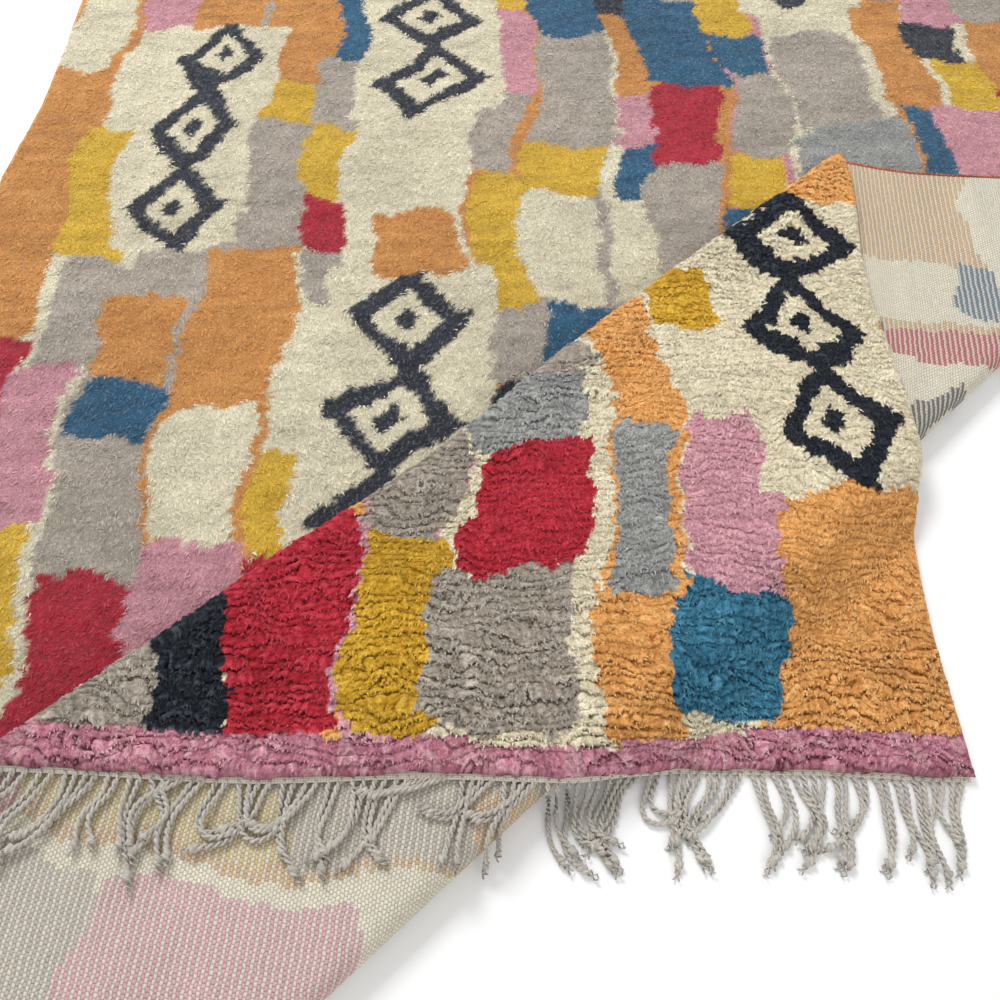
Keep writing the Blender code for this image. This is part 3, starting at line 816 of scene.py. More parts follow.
def thickness_of_locks(u, v):
    """1 where the pile parts into thick locks, near the end and the crease, and less between."""
    near_end = 1 - smooth((v + LENGTH / 2 - 0.10) / 0.24)
    past_crease = LOWER_FOLD - inward_of(u, v) - STARTS["top run"].travel
    near_crease = 0.80 * (1 - smooth((past_crease - 0.03) / 0.12))
    patchy = 0.14 + 0.42 * soft_noise(u / 0.11, v / 0.09, 4)
    return np.maximum.reduce((near_end, near_crease, patchy))


def flow(x, y):
    """The way the locks lean at a place, as an angle off straight down the rug."""
    return 1.5 * swing(x / 0.08, y / 0.07, 61) + 0.7 * swing(x / 0.026, y / 0.024, 62)


Lay = namedtuple("Lay", "way bulge lock tuft band")


def banded(x, y, pitch, width, salt):
    """Wavy bands of locks: each place's way from tip to root, and its lock's bulge, number and tuft."""
    row = y / pitch + 2.1 * swing(x / (4.4 * pitch), y / (3.4 * pitch), salt)
    row = row + 1.1 * swing(x / (1.6 * pitch), y / (1.3 * pitch), salt + 1)
    leaned = np.tan(flow(x, y)) * (row - np.floor(row)) * pitch
    lock = (x + leaned) / width + 7 * hashed(np.floor(row), salt + 2)
    lock = lock + 1.6 * swing(x / (1.9 * width), y / (1.6 * width), salt + 3)
    tuft = hashed(np.floor(lock), np.floor(row), salt + 4)
    bulge = np.abs(np.sin(math.pi * lock)) ** 0.7
    row = row - (0.12 + 0.48 * tuft) * bulge
    return Lay(row - np.floor(row), bulge, lock, tuft, np.floor(row))


def rounded_edge(u, v):
    """How much lower the pile is near the rug's outline."""
    edge = np.clip(outline_depth(u, v) / EDGE_ROUND, 0.0, 1.0)
    return 0.45 + 0.55 * np.sqrt(1 - (1 - edge) ** 2)


def corner_relief(u, v):
    """Height of the corner's pile over the back, its painted shade and highlights, its locks' roots and their
    grain.
    """
    crease = STARTS["upper fold"]
    spread = np.clip(LOWER_FOLD - inward_of(u, v) - crease.travel, 0.0, crease.length) * NOSE_STRETCH
    x, y = u + OUTWARD[0] * spread, v + OUTWARD[1] * spread
    thick = thickness_of_locks(u, v)
    lay = banded(x, y, BAND_PITCH, LOCK_WIDTH, 11)
    parted = smooth((soft_noise(x / 0.034 + 9 * hashed(lay.band, 15), lay.band * 0.8, 16) - 0.20) / 0.35)
    parted = parted * (0.45 + 0.55 * lay.tuft)
    lie = (1 - lay.way ** 2.3) * (0.70 + 0.30 * lay.bulge)
    fine = banded(x + 0.3 * lay.way * BAND_PITCH, y, ROW_PITCH, FINE_LOCK_WIDTH, 21)
    soft = swing(x / 0.0052, y / 0.0052, 17) + 1.3 * swing(x / 0.023, y / 0.017, 18)
    height = PILE_MIDDLE + PART_DEPTH * thick * (0.18 + 0.82 * parted) * (lie - 0.60) + SOFT_DEPTH * soft
    fine_lie = (1 - fine.way ** 1.6) * (0.6 + 0.4 * fine.bulge)
    height = height + FINE_DEPTH * (1.0 - 0.2 * thick) * (fine_lie - 0.5)
    # Painted shade: dark in the crevices under the locks' tips, between locks and at the fine locks' roots,
    # with some random tone per lock.
    crevice_shade = thick * (0.10 + 0.90 * parted) * smooth((lay.way - 0.74) / 0.22)
    shade = 1.03 - 0.78 * crevice_shade - 0.20 * (1 - lay.bulge) * thick
    shade = shade - (0.10 + 0.22 * fine.tuft) * smooth((fine.way - 0.6) / 0.4)
    shade = shade + 0.20 * thick * (lay.tuft - 0.5) + 0.14 * (fine.tuft - 0.5)
    # Painted highlight on the locks' tips.
    shade = shade + 0.26 * thick * (0.3 + 0.7 * lay.tuft) * (1 - smooth(lay.way / 0.4)) - 0.03
    root_u = u + 0.010 * swing(u / 0.012, v / 0.012, 19)
    root_v = v + BAND_PITCH * (0.5 - 0.5 * lay.way)
    shade = np.maximum(shade, DARKEST_SHADE)
    return height * rounded_edge(u, v), shade, held_inside(root_u, root_v), lay.lock * LOCK_WIDTH


def overhung(u, v):
    """Places near the outline moved out over it, as the pile hangs over the edge."""
    side = (1 - np.clip((WIDTH / 2 - np.abs(u)) / EDGE_ROUND, 0.0, 1.0)) ** 2 * np.sign(u)
    end = (1 - np.clip((v + LENGTH / 2) / EDGE_ROUND, 0.0, 1.0)) ** 2
    reach = 0.45 + 0.7 * soft_noise(u / 0.010, v / 0.010, 23) + 0.3 * soft_noise(u / 0.004, v / 0.004, 24)
    return u + SIDE_OVERHANG * side, v - END_OVERHANG * end * reach


def wool_surface(name, patch, relief, finish, palette):
    """A piece of the pile's surface, with a skirt down to the cloth."""
    u, v, quads, border = patch
    top, shade, roots, grain = relief(u, v)
    # The dye darkened by the relief's painted shade, then painted glints where that shade is brightest.
    colours = deepened(dyed(*roots, 0.05, palette=palette), shade)
    colours = glinting(colours, SURFACE_GLINT * np.clip((shade - 1.0) / 0.25, 0.0, 1.0))
    rim, walls = skirt(border, len(u), -1)
    height = np.concatenate((top, np.full(len(rim), SKIRT_FOOT)))
    spots = flat_spot(np.concatenate((u, u[rim])), np.concatenate((v, v[rim])))
    out_u, out_v = overhung(u, v)
    u, v = np.concatenate((out_u, u[rim])), np.concatenate((out_v, v[rim]))
    piece = new_piece(name, folded(u, v, height), [quads, walls], [finish])
    point_vectors(piece, "lock", np.stack((np.concatenate((grain, grain[rim])), v, height), axis=-1))
    # The skirt gets painted shade: SKIRT_SHADE times the rim's colour.
    point_colours(piece, np.concatenate((colours, SKIRT_SHADE * colours[rim])))
    bake_map(piece, spots)
    return piece


def make_corner_pile():
    """The parted pile of the corner that is folded forward, in a near and a far half."""
    def piled(u, v):
        return LOWER_FOLD - inward_of(u, v) > STARTS["top run"].travel

    def near(u, v):
        return piled(u, v) & (v < CORNER_PARTING)

    def far(u, v):
        return piled(u, v) & (v >= CORNER_PARTING)

    patches = [grid_patch(CORNER_ACROSS, CORNER_DOWN, kept) for kept in (near, far)]
    names = ("corner_pile_near", "corner_pile_far")
    return [
        wool_surface(name, patch, corner_relief, CORNER_WOOL, CORNER_PALETTE)
        for name, patch in zip(names, patches)
    ]


NOSE_STEPS = 20
NOSE_RUNS = 480
NOSE_OVERLAP = 0.007


def make_crease():
    """The pile's round nose along the upper crease."""
    start = STARTS["upper fold"]
    overlap = NOSE_OVERLAP * np.array((0.25, 0.5, 0.75, 1.0))
    past = np.concatenate((np.linspace(0, start.length, NOSE_STEPS - 3), start.length + overlap))
    inward = LOWER_FOLD - start.travel - past
    share = np.linspace(0, 1, NOSE_RUNS + 1)
    u = WIDTH / 2 - (inward / OUTWARD[0])[:, None] * (1 - share)[None, :]
    v = -LENGTH / 2 + (inward / -OUTWARD[1])[:, None] * share[None, :]
    index, quads = grid_index(NOSE_STEPS, NOSE_RUNS)
    rim = grid_rim(index)
    border = np.stack((rim, np.roll(rim, -1)), axis=1)
    patch = (u.ravel(), v.ravel(), quads, border)
    return wool_surface("crease_pile", patch, corner_relief, CORNER_WOOL, CORNER_PALETTE)


# The brushed pile around the corner
BRUSHED_MIDDLE = 0.0148
BRUSHED_DEPTH = 0.0020
BRUSHED_CELL = 0.0064


def brushed_relief(u, v):
    """Height of the brushed pile over the back, its painted shade, its roots and its grain."""
    lumps = soft_noise(u / 0.024, v / 0.019, 31) + 0.7 * soft_noise(u / 0.010, v / 0.009, 32) - 0.85
    height = (BRUSHED_MIDDLE + BRUSHED_DEPTH * lumps) * rounded_edge(u, v)
    # Painted shade: a little darker overall, as the ground lies between the wisps, darker in the hollows
    # between lumps and lighter on them, with streaks across the rows.
    shade = 0.88 + 0.10 * lumps + 0.10 * swing(u / 0.045, v / 0.0075, 33)
    root_u = u + 0.006 * swing(u / 0.010, v / 0.010, 34)
    root_v = v + 0.008 * soft_noise(u / 0.010, v / 0.010, 35)
    return height, shade, held_inside(root_u, root_v), u


def shows_below(u, v):
    """Where the lower layer's pile shows outside the turned-over layers."""
    travel = LOWER_FOLD - inward_of(u, v)
    return (travel < STARTS["lower fold"].travel + 0.004) & (under_layers(u, v) < 0.02)


def make_brushed_pile():
    """The surface of the lower layer's pile."""
    patch = grid_patch(BRUSHED_CELL, BRUSHED_CELL, shows_below)
    return wool_surface("brushed_pile", patch, brushed_relief, BRUSHED_SURFACE, PALETTE)


# Locks and wisps
# A blade's shade darkens its root with painted shade, and its tip_shade lightens its tip with a painted
# highlight.
Blade = namedtuple("Blade", "rise run sway girth ridge shade tip_shade")
FIBRE = Blade(0.10, 1.0, 0.35, 0.0012, 0.0007, 0.93, 1.05)
WISP = Blade(0.24, 1.0, 0.40, 0.0016, 0.0012, 0.88, 1.07)
Spots = namedtuple("Spots", "u v height angle size rise colour")
TURNED_EDGE = 0.012


def frames_at(u, v, height):
    """Place, across, along and upward directions of the folded cloth."""
    step = 0.001
    here = folded(u, v, height)
    up = folded(u, v, height + step) - here
    across = folded(u + step, v, height) - here
    up /= np.linalg.norm(up, axis=-1, keepdims=True)
    across /= np.linalg.norm(across, axis=-1, keepdims=True)
    along = np.cross(up, across)
    along /= np.linalg.norm(along, axis=-1, keepdims=True)
    across = np.cross(along, up)
    return here, across, along, up


def make_blades(name, spots, blade, finish, seed):
    """Small tufts of wool that lean over: two faces that meet in a ridge and end in a point."""
    count = len(spots.u)
    draw = np.random.default_rng(seed)
    here, across, along, up = frames_at(spots.u, spots.v, spots.height)
    lean = np.cos(spots.angle)[:, None] * -along + np.sin(spots.angle)[:, None] * across
    side = np.cross(up, lean)
    size = spots.size[:, None]
    rise = blade.rise * spots.rise[:, None] * size
    sway = blade.sway * draw.uniform(-1, 1, count)[:, None] * size
    girth = side * blade.girth * draw.uniform(0.75, 1.25, count)[:, None]
    ridge = here + lean * 0.25 * size + up * (blade.ridge + 0.5 * rise) + side * 0.2 * sway
    tip = here + lean * blade.run * size + up * rise + side * sway
    points = np.stack((here - girth, tip, ridge, here + girth), axis=1)
    starts = np.arange(count)[:, None] * 4
    faces = np.concatenate((starts + (0, 1, 2), starts + (2, 1, 3)))
    piece = new_piece(name, points, [faces], [finish])
    grain = np.empty((count, 4, 3))
    grain[..., 0] = (-1.0, 0.0, 0.0, 1.0)
    grain[..., 1] = (0.0, 0.0, 1.0, 0.0)
    grain[..., 2] = 3.7 * np.arange(count)[:, None] + (0.0, 1.6, 0.4, 0.0)
    point_vectors(piece, "lock", grain)
    # Painted shade at the root points and a painted highlight at the tip.
    shades = np.array((blade.shade, blade.tip_shade, 1.0, blade.shade))
    point_colours(piece, np.clip(spots.colour[:, None, :] * shades[None, :, None], 0.0, BRIGHTEST))
    spread = 0.0004 * np.array(((-1, 0), (0, -1), (0, 0), (1, 0)))
    bake_map(piece, (flat_spot(spots.u, spots.v)[:, None, :] + spread[None]).reshape(-1, 2))
    return piece


def in_halves(name, spots, blade, finish, seed):
    """Two pieces of about as many blades each."""
    half = len(spots.u) // 2
    made = []
    for number, part in enumerate((slice(0, half), slice(half, None))):
        taken = Spots(*(values[part] for values in spots))
        made.append(make_blades(f"{name}_{number + 1}", taken, blade, finish, seed + number))
    return made


def under_layers(u, v):
    """How deep under the turned-over layer a place of the lower layer lies, in metres."""
    out = LOWER_FOLD - inward_of(u, v)
    along = (u - CORNER[0]) * ALONG[0] + (v - CORNER[1]) * ALONG[1] + slide(u, v)
    over = LOWER_FOLD - (STARTS["back run"].travel - out)
    moved = 0.0
    for _ in range(2):
        above_u = CORNER[0] - OUTWARD[0] * over + ALONG[0] * (along - moved)
        above_v = CORNER[1] - OUTWARD[1] * over + ALONG[1] * (along - moved)
        moved = slide(above_u, above_v)
    deep = np.minimum.reduce((WIDTH / 2 - above_u, above_u + WIDTH / 2, above_v + LENGTH / 2, out + BACK_RUN))
    return np.where(out < 0, deep, -1.0)


def turned_out(u, v, angle, amount):
    """Turn the lean outwards near the rug's edges."""
    side = smooth((TURNED_EDGE - (WIDTH / 2 - np.abs(u))) / TURNED_EDGE) * np.sign(u)
    end = smooth((TURNED_EDGE - (LENGTH / 2 - np.abs(v))) / TURNED_EDGE) * np.sign(v)
    return np.arctan2(np.sin(angle) + amount * side, np.cos(angle) - amount * end)


NOSE_ROWS = 9
FIBRE_SPACING = 0.0030
FIBRE_GLINT = 0.04
FIBRE_LENGTH = 0.0062
FIBRE_SHORTENING = 0.0022


def nose_places(draw):
    """Evenly spread places on the round nose of the upper crease."""
    start = STARTS["upper fold"]
    count = int((LOWER_FOLD - start.travel) / (OUTWARD[0] * -OUTWARD[1]) / (1.2 * FIBRE_SPACING))
    row = np.repeat(np.arange(NOSE_ROWS), count)
    share = (np.tile(np.arange(count), NOSE_ROWS) + draw.uniform(0.0, 1.0, len(row))) / (count + 1)
    inward = LOWER_FOLD - start.travel - start.length * (row + draw.uniform(0.0, 1.0, len(row))) / NOSE_ROWS
    return WIDTH / 2 - inward / OUTWARD[0] * (1 - share), -LENGTH / 2 + inward / -OUTWARD[1] * share


def make_corner_fibres():
    """Fine strands that lie over the corner's parted pile and round its crease."""
    draw = np.random.default_rng(11)
    steps = [np.arange(size / FIBRE_SPACING) for size in (WIDTH, LENGTH)]
    column, row = np.meshgrid(*steps, indexing="ij")
    u = WIDTH / 2 - (column.ravel() + 0.5) * FIBRE_SPACING
    v = -LENGTH / 2 + (row.ravel() + 0.5) * FIBRE_SPACING
    keep = LOWER_FOLD - inward_of(u, v) > STARTS["top run"].travel
    nose_u, nose_v = nose_places(draw)
    u, v = np.concatenate((u[keep], nose_u)), np.concatenate((v[keep], nose_v))
    count = len(u)
    u = u + draw.uniform(-0.5, 0.5, count) * FIBRE_SPACING
    v = v + draw.uniform(-0.5, 0.5, count) * FIBRE_SPACING
    u, v = held_inside(u, v)
    height, shade, roots = corner_relief(u, v)[:3]
    thick = thickness_of_locks(u, v)
    tone = 1 + (0.15 + 0.10 * thick) * draw.uniform(-1, 1, count)
    # The dye darkened by the relief's painted shade, times a random tone per fibre.
    colour = deepened(dyed(*roots, 0.06, 3, CORNER_PALETTE), shade * tone)
    # Painted glints, kept to fibres where the painted shade is light.
    light = np.clip(shade, 0.0, 1.0) ** 2 * draw.uniform(0.0, 1.0, count)
    colour = glinting(colour, FIBRE_GLINT * light)
    angle = turned_out(u, v, flow(u, v) + draw.normal(0, 1, count) * (0.62 - 0.3 * thick), 0.3)
    size = (FIBRE_LENGTH - FIBRE_SHORTENING * thick) * draw.uniform(0.7, 1.3, count)
    size = size * (0.35 + 0.65 * smooth((shade - 0.55) / 0.35))
    size = size * (0.45 + 0.55 * smooth((WIDTH / 2 - np.abs(u)) / 0.008))
    size = size * (0.85 + 0.15 * smooth((v + LENGTH / 2) / 0.012))
    rise = draw.uniform(0.0, 1.0, count) * (1.8 - thick)
    spots = Spots(u, v, height - 0.0004, angle, size, rise, colour)
    return in_halves("corner_fibres", spots, FIBRE, FIBRE_WOOL, 21)


WISP_SPACING = 0.0052
WISP_GLINT = 0.12
WISP_LENGTH = 0.0070


def make_wisps():
    """Brushed wisps over all of the pile that shows outside the folded corner."""
    columns = int(WIDTH / WISP_SPACING)
    rows = int(LENGTH / (WISP_SPACING * 0.87))
    row, column = np.meshgrid(np.arange(rows), np.arange(columns), indexing="ij")
    draw = np.random.default_rng(5)
    u = (-WIDTH / 2 + (column + 0.25 + 0.5 * (row % 2)) * WIDTH / columns).ravel()
    v = (-LENGTH / 2 + (row + 0.5) * LENGTH / rows).ravel()
    u = u + draw.uniform(-0.0020, 0.0020, len(u))
    v = v + draw.uniform(-0.0020, 0.0020, len(v))
    travel = LOWER_FOLD - inward_of(u, v)
    depth = outline_depth(u, v)
    beside = under_layers(u, v) > -0.007
    middle = (travel > 0.03) & (travel <= STARTS["top run"].travel) & (depth < 0.015)
    keep = (shows_below(u, v) | middle) & (depth > 0.0005)
    u, v, beside, middle = u[keep], v[keep], beside[keep], middle[keep]
    count = len(u)
    height, shade = brushed_relief(u, v)[:2]
    # The dye darkened by the brushed pile's painted shade, times a random tone, then painted glints.
    colour = deepened(dyed(u, v, 0.06, 9), shade * draw.uniform(0.87, 1.13, count))
    colour = glinting(colour, WISP_GLINT * draw.uniform(0.0, 1.0, count))
    angle = 0.5 * np.sin(u * 9 + v * 5) + 0.35 * np.sin(v * 21 - u * 13 + 2) + draw.normal(0, 0.6, count)
    angle = turned_out(u, v, angle, 0.5)
    size = WISP_LENGTH * draw.uniform(0.7, 1.35, count)
    size = size * (0.5 + 0.5 * smooth(depth[keep] / 0.012))
    size = np.where(beside | middle, 0.7 * size, size)
    rise = draw.uniform(0.2, 1.3, count)
    spots = Spots(u, v, height - 0.0006, angle, size, rise, colour)
    return in_halves("pile_wisps", spots, WISP, BRUSHED_WOOL, 41)


# Fringe
def crossing(name):
    """Where a stretch of the section starts on the near end: its place across."""
    return CORNER[0] - (LOWER_FOLD - STARTS[name].travel) / OUTWARD[0]


def slant(u):
    """How much a cross row of the near heading runs along the creases, 1 in the folds."""
    shares = []
    for first, last in (("lower fold", "back run"), ("upper fold", "top run")):
        past = np.maximum.reduce((crossing(first) - u, u - crossing(last), 0.0 * u))
        shares.append(1 - smooth(past / HEADING_EASE))
    return np.maximum(*shares)


def strand_support(out):
    """The height that a strand lies at over the lower fold and the floor beyond it."""
    reach = OUTER_BEND + STRAND_CLEARANCE
    if out <= 0:
        return OUTER_BEND + reach
    slide_out = reach * math.sin(SLIDE_ANGLE)
    if out <= slide_out:
        return OUTER_BEND + math.sqrt(reach * reach - out * out)
    slide_up = OUTER_BEND + reach * math.cos(SLIDE_ANGLE)
    return max(slide_up - (out - slide_out) * math.tan(SLIDE_ANGLE), 0.0)


def on_lower_layer(x, y):
    return strand_support((x - CORNER[0]) * OUTWARD[0] + (y - CORNER[1]) * OUTWARD[1] + LOWER_FOLD)


def on_pile(x, y):
    return THICKNESS - 0.001


def on_floor(x, y):
    return 0.0


PLY_OFFSET = 0.0014
PLY_RADIUS = 0.0018
PLY_SIDES = 5
TWIST_PITCH = 0.0130
STRAND_STEP = 0.0030
KNOT_PLACE = 0.86
KNOT_LENGTH = 0.030
KNOT_SWELL = 0.0020
HOOK_START = 0.35
JOINED_LENGTH = 0.022
FRINGE_GRAIN = 0.0022
GRAIN_PER_STRAND = 7.1
GRAIN_PER_PLY = 3.3


def strand_line(root, outward, toward, length, support, sweep, pair, draw):
    """The centre line of one strand, which runs beside its neighbour and lies on what is under it."""
    side = np.array((-outward[1], outward[0]))
    lean = 0.14 * math.sin(root[0] * 11.0 + 0.6) + 0.10 * math.sin(root[0] * 23.0 + 2.0)
    crowded = float(smooth((0.25 - root[0]) / 0.3)) * sweep
    lean += pair.uniform(-0.26, 0.26) * (1 + crowded) - 0.45 * crowded
    curl = 0.22 * math.sin(root[0] * 15.0 + 1.1) + pair.uniform(-0.38, 0.38)
    hook = pair.choice((0.0, 0.0, 0.6, -0.6, 1.0, -1.0)) * pair.uniform(0.8, 2.1)
    hook += draw.uniform(-0.25, 0.25)
    wave = pair.uniform(0.05, 0.34)
    phase = pair.uniform(0, 6.28)
    radius = PLY_OFFSET + PLY_RADIUS
    closing = toward * (STRAND_PITCH / 2 - radius) / JOINED_LENGTH
    hop = draw.choice((0.0, 0.0, 0.003))
    count = max(int(length / STRAND_STEP), 12)
    spot = root[:2].copy()
    line = []
    for index in range(count + 1):
        share = index / count
        angle = lean + 2 * curl * share + hook * float(smooth((share - HOOK_START) / 0.5))
        angle += wave * math.sin(share * 9 + phase) * min(share * 4, 1.0)
        angle += closing if share * length < JOINED_LENGTH else 0.0
        if index:
            spot = spot + (outward * math.cos(angle) + side * math.sin(angle)) * (length / count)
        bed = max(support(*(spot + step)) for step in (side * 0.003, side * -0.003, side * 0.0))
        settled = float(smooth(share * length / SETTLE_LENGTH))
        level = root[2] * (1 - settled) + (bed + radius + hop * math.sin(share * math.pi)) * settled
        knot = math.exp(-((share - KNOT_PLACE) / KNOT_LENGTH) ** 2)
        line.append((spot[0], spot[1], max(level, bed + radius * 0.9) + KNOT_SWELL * knot))
    return np.array(line)


def swept(line, spin, offset, radii, sides):
    """Rings of points round a line, off its middle by a turning offset."""
    direction = np.gradient(line, axis=0)
    direction /= np.linalg.norm(direction, axis=1, keepdims=True)
    flat = np.cross(direction, (0.0, 0.0, 1.0))
    flat /= np.linalg.norm(flat, axis=1, keepdims=True)
    top = np.cross(flat, direction)
    centre = line + offset[:, None] * (np.cos(spin)[:, None] * flat + np.sin(spin)[:, None] * top)
    rings = []
    for corner in range(sides):
        turn = spin + corner * 2 * math.pi / sides
        rings.append(centre + radii[:, None] * (np.cos(turn)[:, None] * flat + np.sin(turn)[:, None] * top))
    return np.stack(rings, axis=1)


def tube_faces(levels, sides, start):
    """Quads of a tube and its two end faces."""
    corner = np.arange(sides)
    after = (corner + 1) % sides
    low = np.arange(levels - 1)[:, None] * sides
    quads = np.stack((low + corner, low + after, low + sides + after, low + sides + corner), axis=-1)
    quads = quads.reshape(-1, 4) + start
    ends = np.stack((corner[::-1], (levels - 1) * sides + corner)) + start
    return quads, ends


def distance_along(line):
    """The distance travelled along a line at each of its points."""
    return np.concatenate(([0], np.cumsum(np.linalg.norm(np.diff(line, axis=0), axis=1))))


class Plies:
    """Tubes of spun yarn that are gathered into one mesh."""

    def __init__(self, sides, grain_length):
        self.sides = sides
        self.grain_length = grain_length
        self.start = 0
        self.points, self.grain, self.quads, self.caps = [], [], [], []

    def add(self, line, spin, offset, radii, number):
        """One ply that winds round a line, with the grain of its fibres."""
        corner = np.arange(self.sides) * 2 * math.pi / self.sides
        grain = np.empty((len(line), self.sides, 3))
        grain[:, :, 0] = np.cos(corner)
        grain[:, :, 1] = np.sin(corner)
        grain[:, :, 2] = (distance_along(line) / self.grain_length)[:, None] + number
        quads, caps = tube_faces(len(line), self.sides, self.start)
        self.start += len(line) * self.sides
        self.points.append(swept(line, spin, offset, radii, self.sides).reshape(-1, 3))
        self.grain.append(grain.reshape(-1, 3))
        self.quads.append(quads)
        self.caps.append(caps)


def twist_strand(plies, line, number, draw):
    """Two plies twisted round one strand's line, with a knot and a loose end."""
    travelled = distance_along(line)
    share = travelled / travelled[-1]
    phase = draw.uniform(0, 6.28)
    pitch = TWIST_PITCH * draw.uniform(0.9, 1.15)
    tassel = smooth((share - KNOT_PLACE - 0.03) / 0.06)
    knot = np.exp(-((share - KNOT_PLACE) / KNOT_LENGTH) ** 2)
    offset = PLY_OFFSET * (1 + 1.1 * tassel) + knot * 0.0006
    radii = PLY_RADIUS * (1 - 0.40 * tassel) + knot * KNOT_SWELL
    radii = radii * (0.75 + 0.25 * smooth(share / 0.06))
    for ply in range(2):
        spin = travelled / pitch * 2 * math.pi + phase + ply * math.pi
        plies.add(line, spin, offset, radii, number * GRAIN_PER_STRAND + ply * GRAIN_PER_PLY)


def make_fringe(which, flat, ends, turn, support, sweep=0.0):
    """One stretch of the near heading with its twisted strands."""
    node = "fringe_" + which
    lengths = random.Random(node)
    draw = random.Random("yarn " + node)
    count = int((flat[1] - flat[0]) / STRAND_PITCH)
    margin = (flat[1] - flat[0] - count * STRAND_PITCH) / 2
    near = -LENGTH / 2 - PIECE_GAP
    root_v = near - HEADING_WIDTH + 0.003
    level = HEADING_THICKNESS * 0.55
    outward = np.array((math.sin(turn), -math.cos(turn)))
    strands = Plies(PLY_SIDES, FRINGE_GRAIN)
    for index in range(count):
        u = flat[0] + margin + STRAND_PITCH * (index + 0.5)
        length = lengths.uniform(STRAND_SHORTEST, STRAND_LONGEST)
        root_u = u - float(slant(np.array(u))) * HEADING_WIDTH * ALONG[0] / ALONG[1]
        root = folded(root_u, root_v, level)
        mate = folded(root_u + STRAND_PITCH * (1 - 2 * (index % 2)), root_v, level)
        toward = math.copysign(1.0, (mate[0] - root[0]) * -outward[1] + (mate[1] - root[1]) * outward[0])
        pair = random.Random(f"{node} {index // 2}")
        line = strand_line(root, outward, toward, length, support, sweep, pair, draw)
        twist_strand(strands, line, index, draw)
    band_points, band_grain, band_quads, band_caps = heading_strip(flat, ends, near, strands.start)
    faces = [np.concatenate(strands.quads), band_quads, np.concatenate(strands.caps), band_caps]
    kinds = np.repeat((0.0, 1.0, 0.0, 1.0), [len(part) for part in faces])
    points = np.concatenate((*strands.points, band_points))
    piece = new_piece("fringe_yarn_" + which, points, faces, [FRINGE_YARN, HEADING_WEAVE], kinds)
    grain = np.concatenate((*strands.grain, band_grain))
    for purpose in ("lock", "weave"):
        point_vectors(piece, purpose, grain)
    return piece


STRIP_PROFILE = (
    (0.0, 0.10), (0.10, 0.0), (0.90, 0.0), (1.0, 0.15),
    (1.0, 0.75), (0.85, 1.0), (0.15, 1.0), (0.0, 0.85),
)
STATION_STEP = 0.0052


def heading_strip(flat, ends, near, start):
    """The heading's band as one closed tube of flat section."""
    (low, high), (first, last) = ends, flat
    stations = list(np.arange(first, last, STATION_STEP)) + [last]
    if low < first:
        stations = list(np.linspace(low, first, 10)[:-1]) + stations
    if high > last:
        stations = stations + list(np.linspace(last, high, 10)[1:])
    stations = np.array(stations)
    rings, weaves = [], []
    for away, level in STRIP_PROFILE:
        v = np.full(len(stations), near - HEADING_WIDTH * (1 - away))
        u = stations - slant(stations) * HEADING_WIDTH * (1 - away) * ALONG[0] / ALONG[1]
        height = np.full(len(stations), HEADING_THICKNESS * level)
        rings.append(folded(u, v, height))
        weaves.append(np.stack((u, v, height), axis=-1))
    rings = np.stack(rings, axis=1)
    quads, caps = tube_faces(len(stations), len(STRIP_PROFILE), start)
    return rings.reshape(-1, 3), np.stack(weaves, axis=1).reshape(-1, 3), quads[:, ::-1], caps[:, ::-1]


def make_fringes():
    """The near heading with its strands, parted in the middle of each fold."""
    lower_start, lower_end = crossing("lower fold"), crossing("back run")
    upper_start, upper_end = crossing("upper fold"), crossing("top run")
    lower_left = (lower_start + lower_end - PARTING_GAP) / 2
    lower_right = lower_left + PARTING_GAP
    upper_left = (upper_start + upper_end - PARTING_GAP) / 2
    upper_right = upper_left + PARTING_GAP
    mirrored = 2 * CREASE_ANGLE - math.pi
    return [
        make_fringe("base", (-WIDTH / 2, lower_start), (-WIDTH / 2, lower_left), 0.0, on_floor),
        make_fringe("middle", (lower_end, upper_start), (lower_right, upper_left), mirrored, on_pile),
        make_fringe("top", (upper_end, WIDTH / 2), (upper_right, WIDTH / 2), 0.0, on_lower_layer, 1.0),
    ]


# Edge cords
CORD_OFFSET = 0.0013
CORD_PLY = 0.0021
CORD_SIDES = 4
CORD_TWIST = 0.0130
CORD_GRAIN = 0.0015
CORD_STEP = 0.0055
CORD_FOLD_STEPS = 16


def cord_place(travel):
    """How far beside the rug's edge and over its back the cord's middle lies, by its layer."""
    turned = smooth(travel / 0.03)
    forward = smooth((travel - STARTS["upper fold"].travel) / 0.012)
    beside = 0.0030 - 0.0004 * turned - 0.0038 * forward
    over = CORD_OFFSET + CORD_PLY - 0.0028 * turned + 0.0024 * forward
    return beside, over


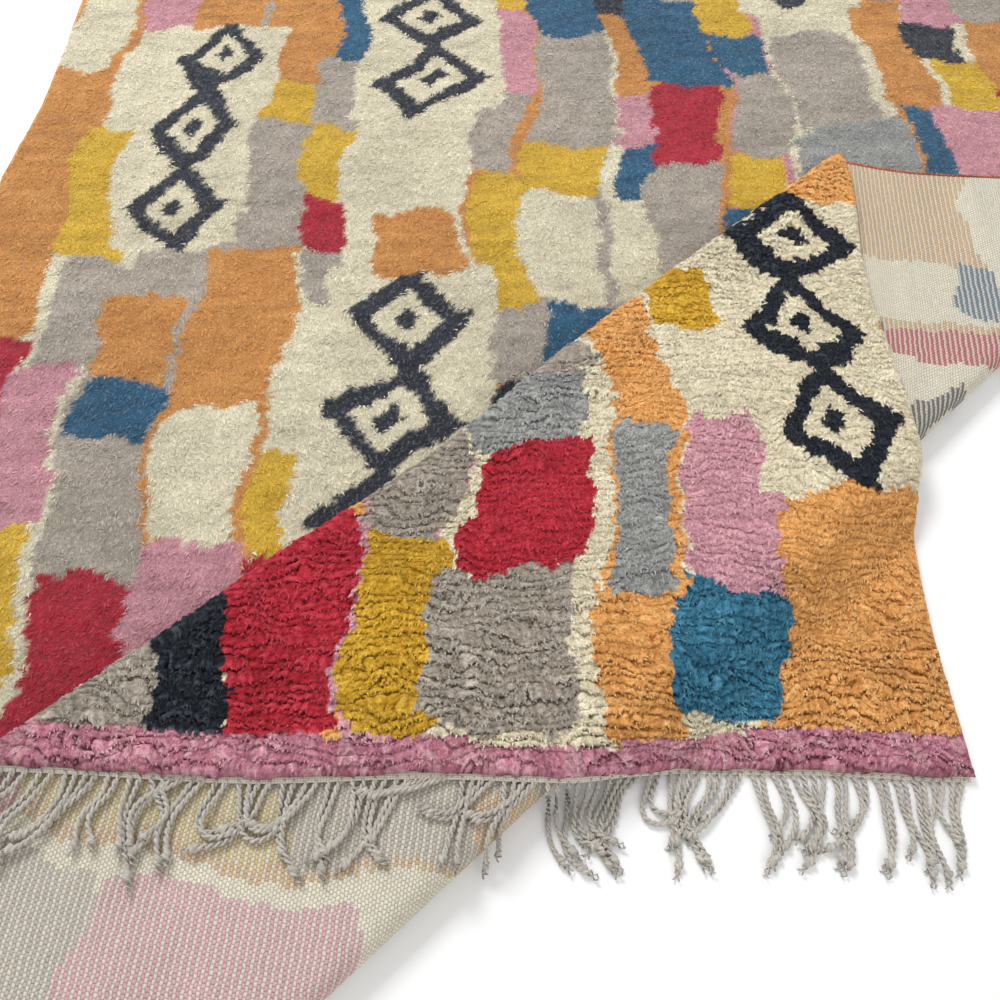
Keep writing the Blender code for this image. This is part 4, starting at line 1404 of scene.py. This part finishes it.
def make_cord(name, sign):
    """An overcast cord: two plies wound round each other along a long side."""
    u = sign * WIDTH / 2
    places = list(np.arange(-LENGTH / 2, LENGTH / 2 + 0.001, CORD_STEP))
    for name_of in ("lower fold", "upper fold", "drop over", "drop foot"):
        begin = STARTS[name_of]
        for index in range(CORD_FOLD_STEPS + 1):
            inward = LOWER_FOLD - begin.travel - begin.length * index / CORD_FOLD_STEPS
            place = (inward - (CORNER[0] - u) * OUTWARD[0]) / -OUTWARD[1] + CORNER[1]
            if abs(place) < LENGTH / 2:
                places.append(place)
    places = np.sort(np.array(places))
    places = places[np.concatenate(([True], np.diff(places) > 0.0003))]
    beside, over = cord_place(LOWER_FOLD - inward_of(u, places))
    line = folded(u + sign * beside, places, over)
    plies = Plies(CORD_SIDES, CORD_GRAIN)
    offset, radii = np.full(len(line), CORD_OFFSET), np.full(len(line), CORD_PLY)
    for ply in range(2):
        spin = distance_along(line) / CORD_TWIST * 2 * math.pi + ply * math.pi
        plies.add(line, spin, offset, radii, ply * GRAIN_PER_PLY)
    faces = [np.concatenate(plies.quads), np.concatenate(plies.caps)]
    piece = new_piece(name, np.concatenate(plies.points), faces, [EDGE_YARN])
    point_vectors(piece, "lock", np.concatenate(plies.grain))
    return piece


# Making and riding
cloth = make_cloth()
woven_back = make_woven_back()
crease = make_crease()
corner_pile = make_corner_pile()
brushed_pile = make_brushed_pile()
corner_fibres = make_corner_fibres()
wisps = make_wisps()
fringes = make_fringes()
cord_right = make_cord("edge_cord_right", 1)
cord_left = make_cord("edge_cord_left", -1)
wool_pieces = [cloth, woven_back, crease, *corner_pile, brushed_pile, *corner_fibres, *wisps]
edge_pieces = [cord_right, cord_left]

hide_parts("rug_body")
for piece, node in zip(fringes, ("fringe_base", "fringe_middle", "fringe_top")):
    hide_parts(node)
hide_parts("selvedge_right")
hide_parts("selvedge_left")
for slot, pieces in (("pile_wool", wool_pieces), ("warp_yarn", fringes), ("edge_yarn", edge_pieces)):
    for piece in pieces:
        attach(piece, "root")
far_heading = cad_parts["heading_far"]
for place in far_heading.material_slots:
    place.material = FAR_WEAVE

# Stage, light, camera
FLOOR_REACH = 30
FLOOR_DROP = 0.0006
WORLD_STRENGTH = 0.68
LENS = 28.8
SENSOR_WIDTH = 36.0
CAMERA_PLACE = (-0.1154, -0.7699, 0.8383)
CAMERA_TILT = 27.48
CAMERA_TURN = 0.31

floor_corners = [(FLOOR_REACH * x, FLOOR_REACH * y, 0) for x, y in ((-1, -1), (1, -1), (1, 1), (-1, 1))]
floor_mesh = bpy.data.meshes.new("floor")
floor_mesh.from_pydata(floor_corners, [], [(0, 1, 2, 3)])
floor_mesh.materials.append(floor_material())
floor = bpy.data.objects.new("floor", floor_mesh)
floor.location.z = -FLOOR_DROP
bpy.context.scene.collection.objects.link(floor)

world = bpy.data.worlds.new("studio")
world.use_nodes = True
world.node_tree.nodes["Background"].inputs["Color"].default_value = (1.0, 1.0, 1.0, 1.0)
world.node_tree.nodes["Background"].inputs["Strength"].default_value = WORLD_STRENGTH
bpy.context.scene.world = world


def area_light(name, place, target, size, power):
    """A soft square light aimed at a point."""
    lamp = bpy.data.lights.new(name, "AREA")
    lamp.shape = "SQUARE"
    lamp.size = size
    lamp.energy = power
    made = bpy.data.objects.new(name, lamp)
    made.location = place
    made.rotation_euler = (Vector(target) - Vector(place)).to_track_quat("-Z", "Y").to_euler()
    bpy.context.scene.collection.objects.link(made)


area_light("key_light", place=(-1.6, 2.4, 3.2), target=(0, -0.2, 0), size=1.4, power=125)
area_light("fill_light", place=(1.5, -2.6, 2.6), target=(0, -0.4, 0), size=2.4, power=22)

lens = bpy.data.cameras.new("camera")
lens.lens = LENS
lens.sensor_width = SENSOR_WIDTH
camera = bpy.data.objects.new("camera", lens)
camera.location = CAMERA_PLACE
camera.rotation_euler = (math.radians(CAMERA_TILT), 0.0, math.radians(CAMERA_TURN))
bpy.context.scene.collection.objects.link(camera)
bpy.context.scene.camera = camera
bpy.context.scene.view_settings.view_transform = "Standard"
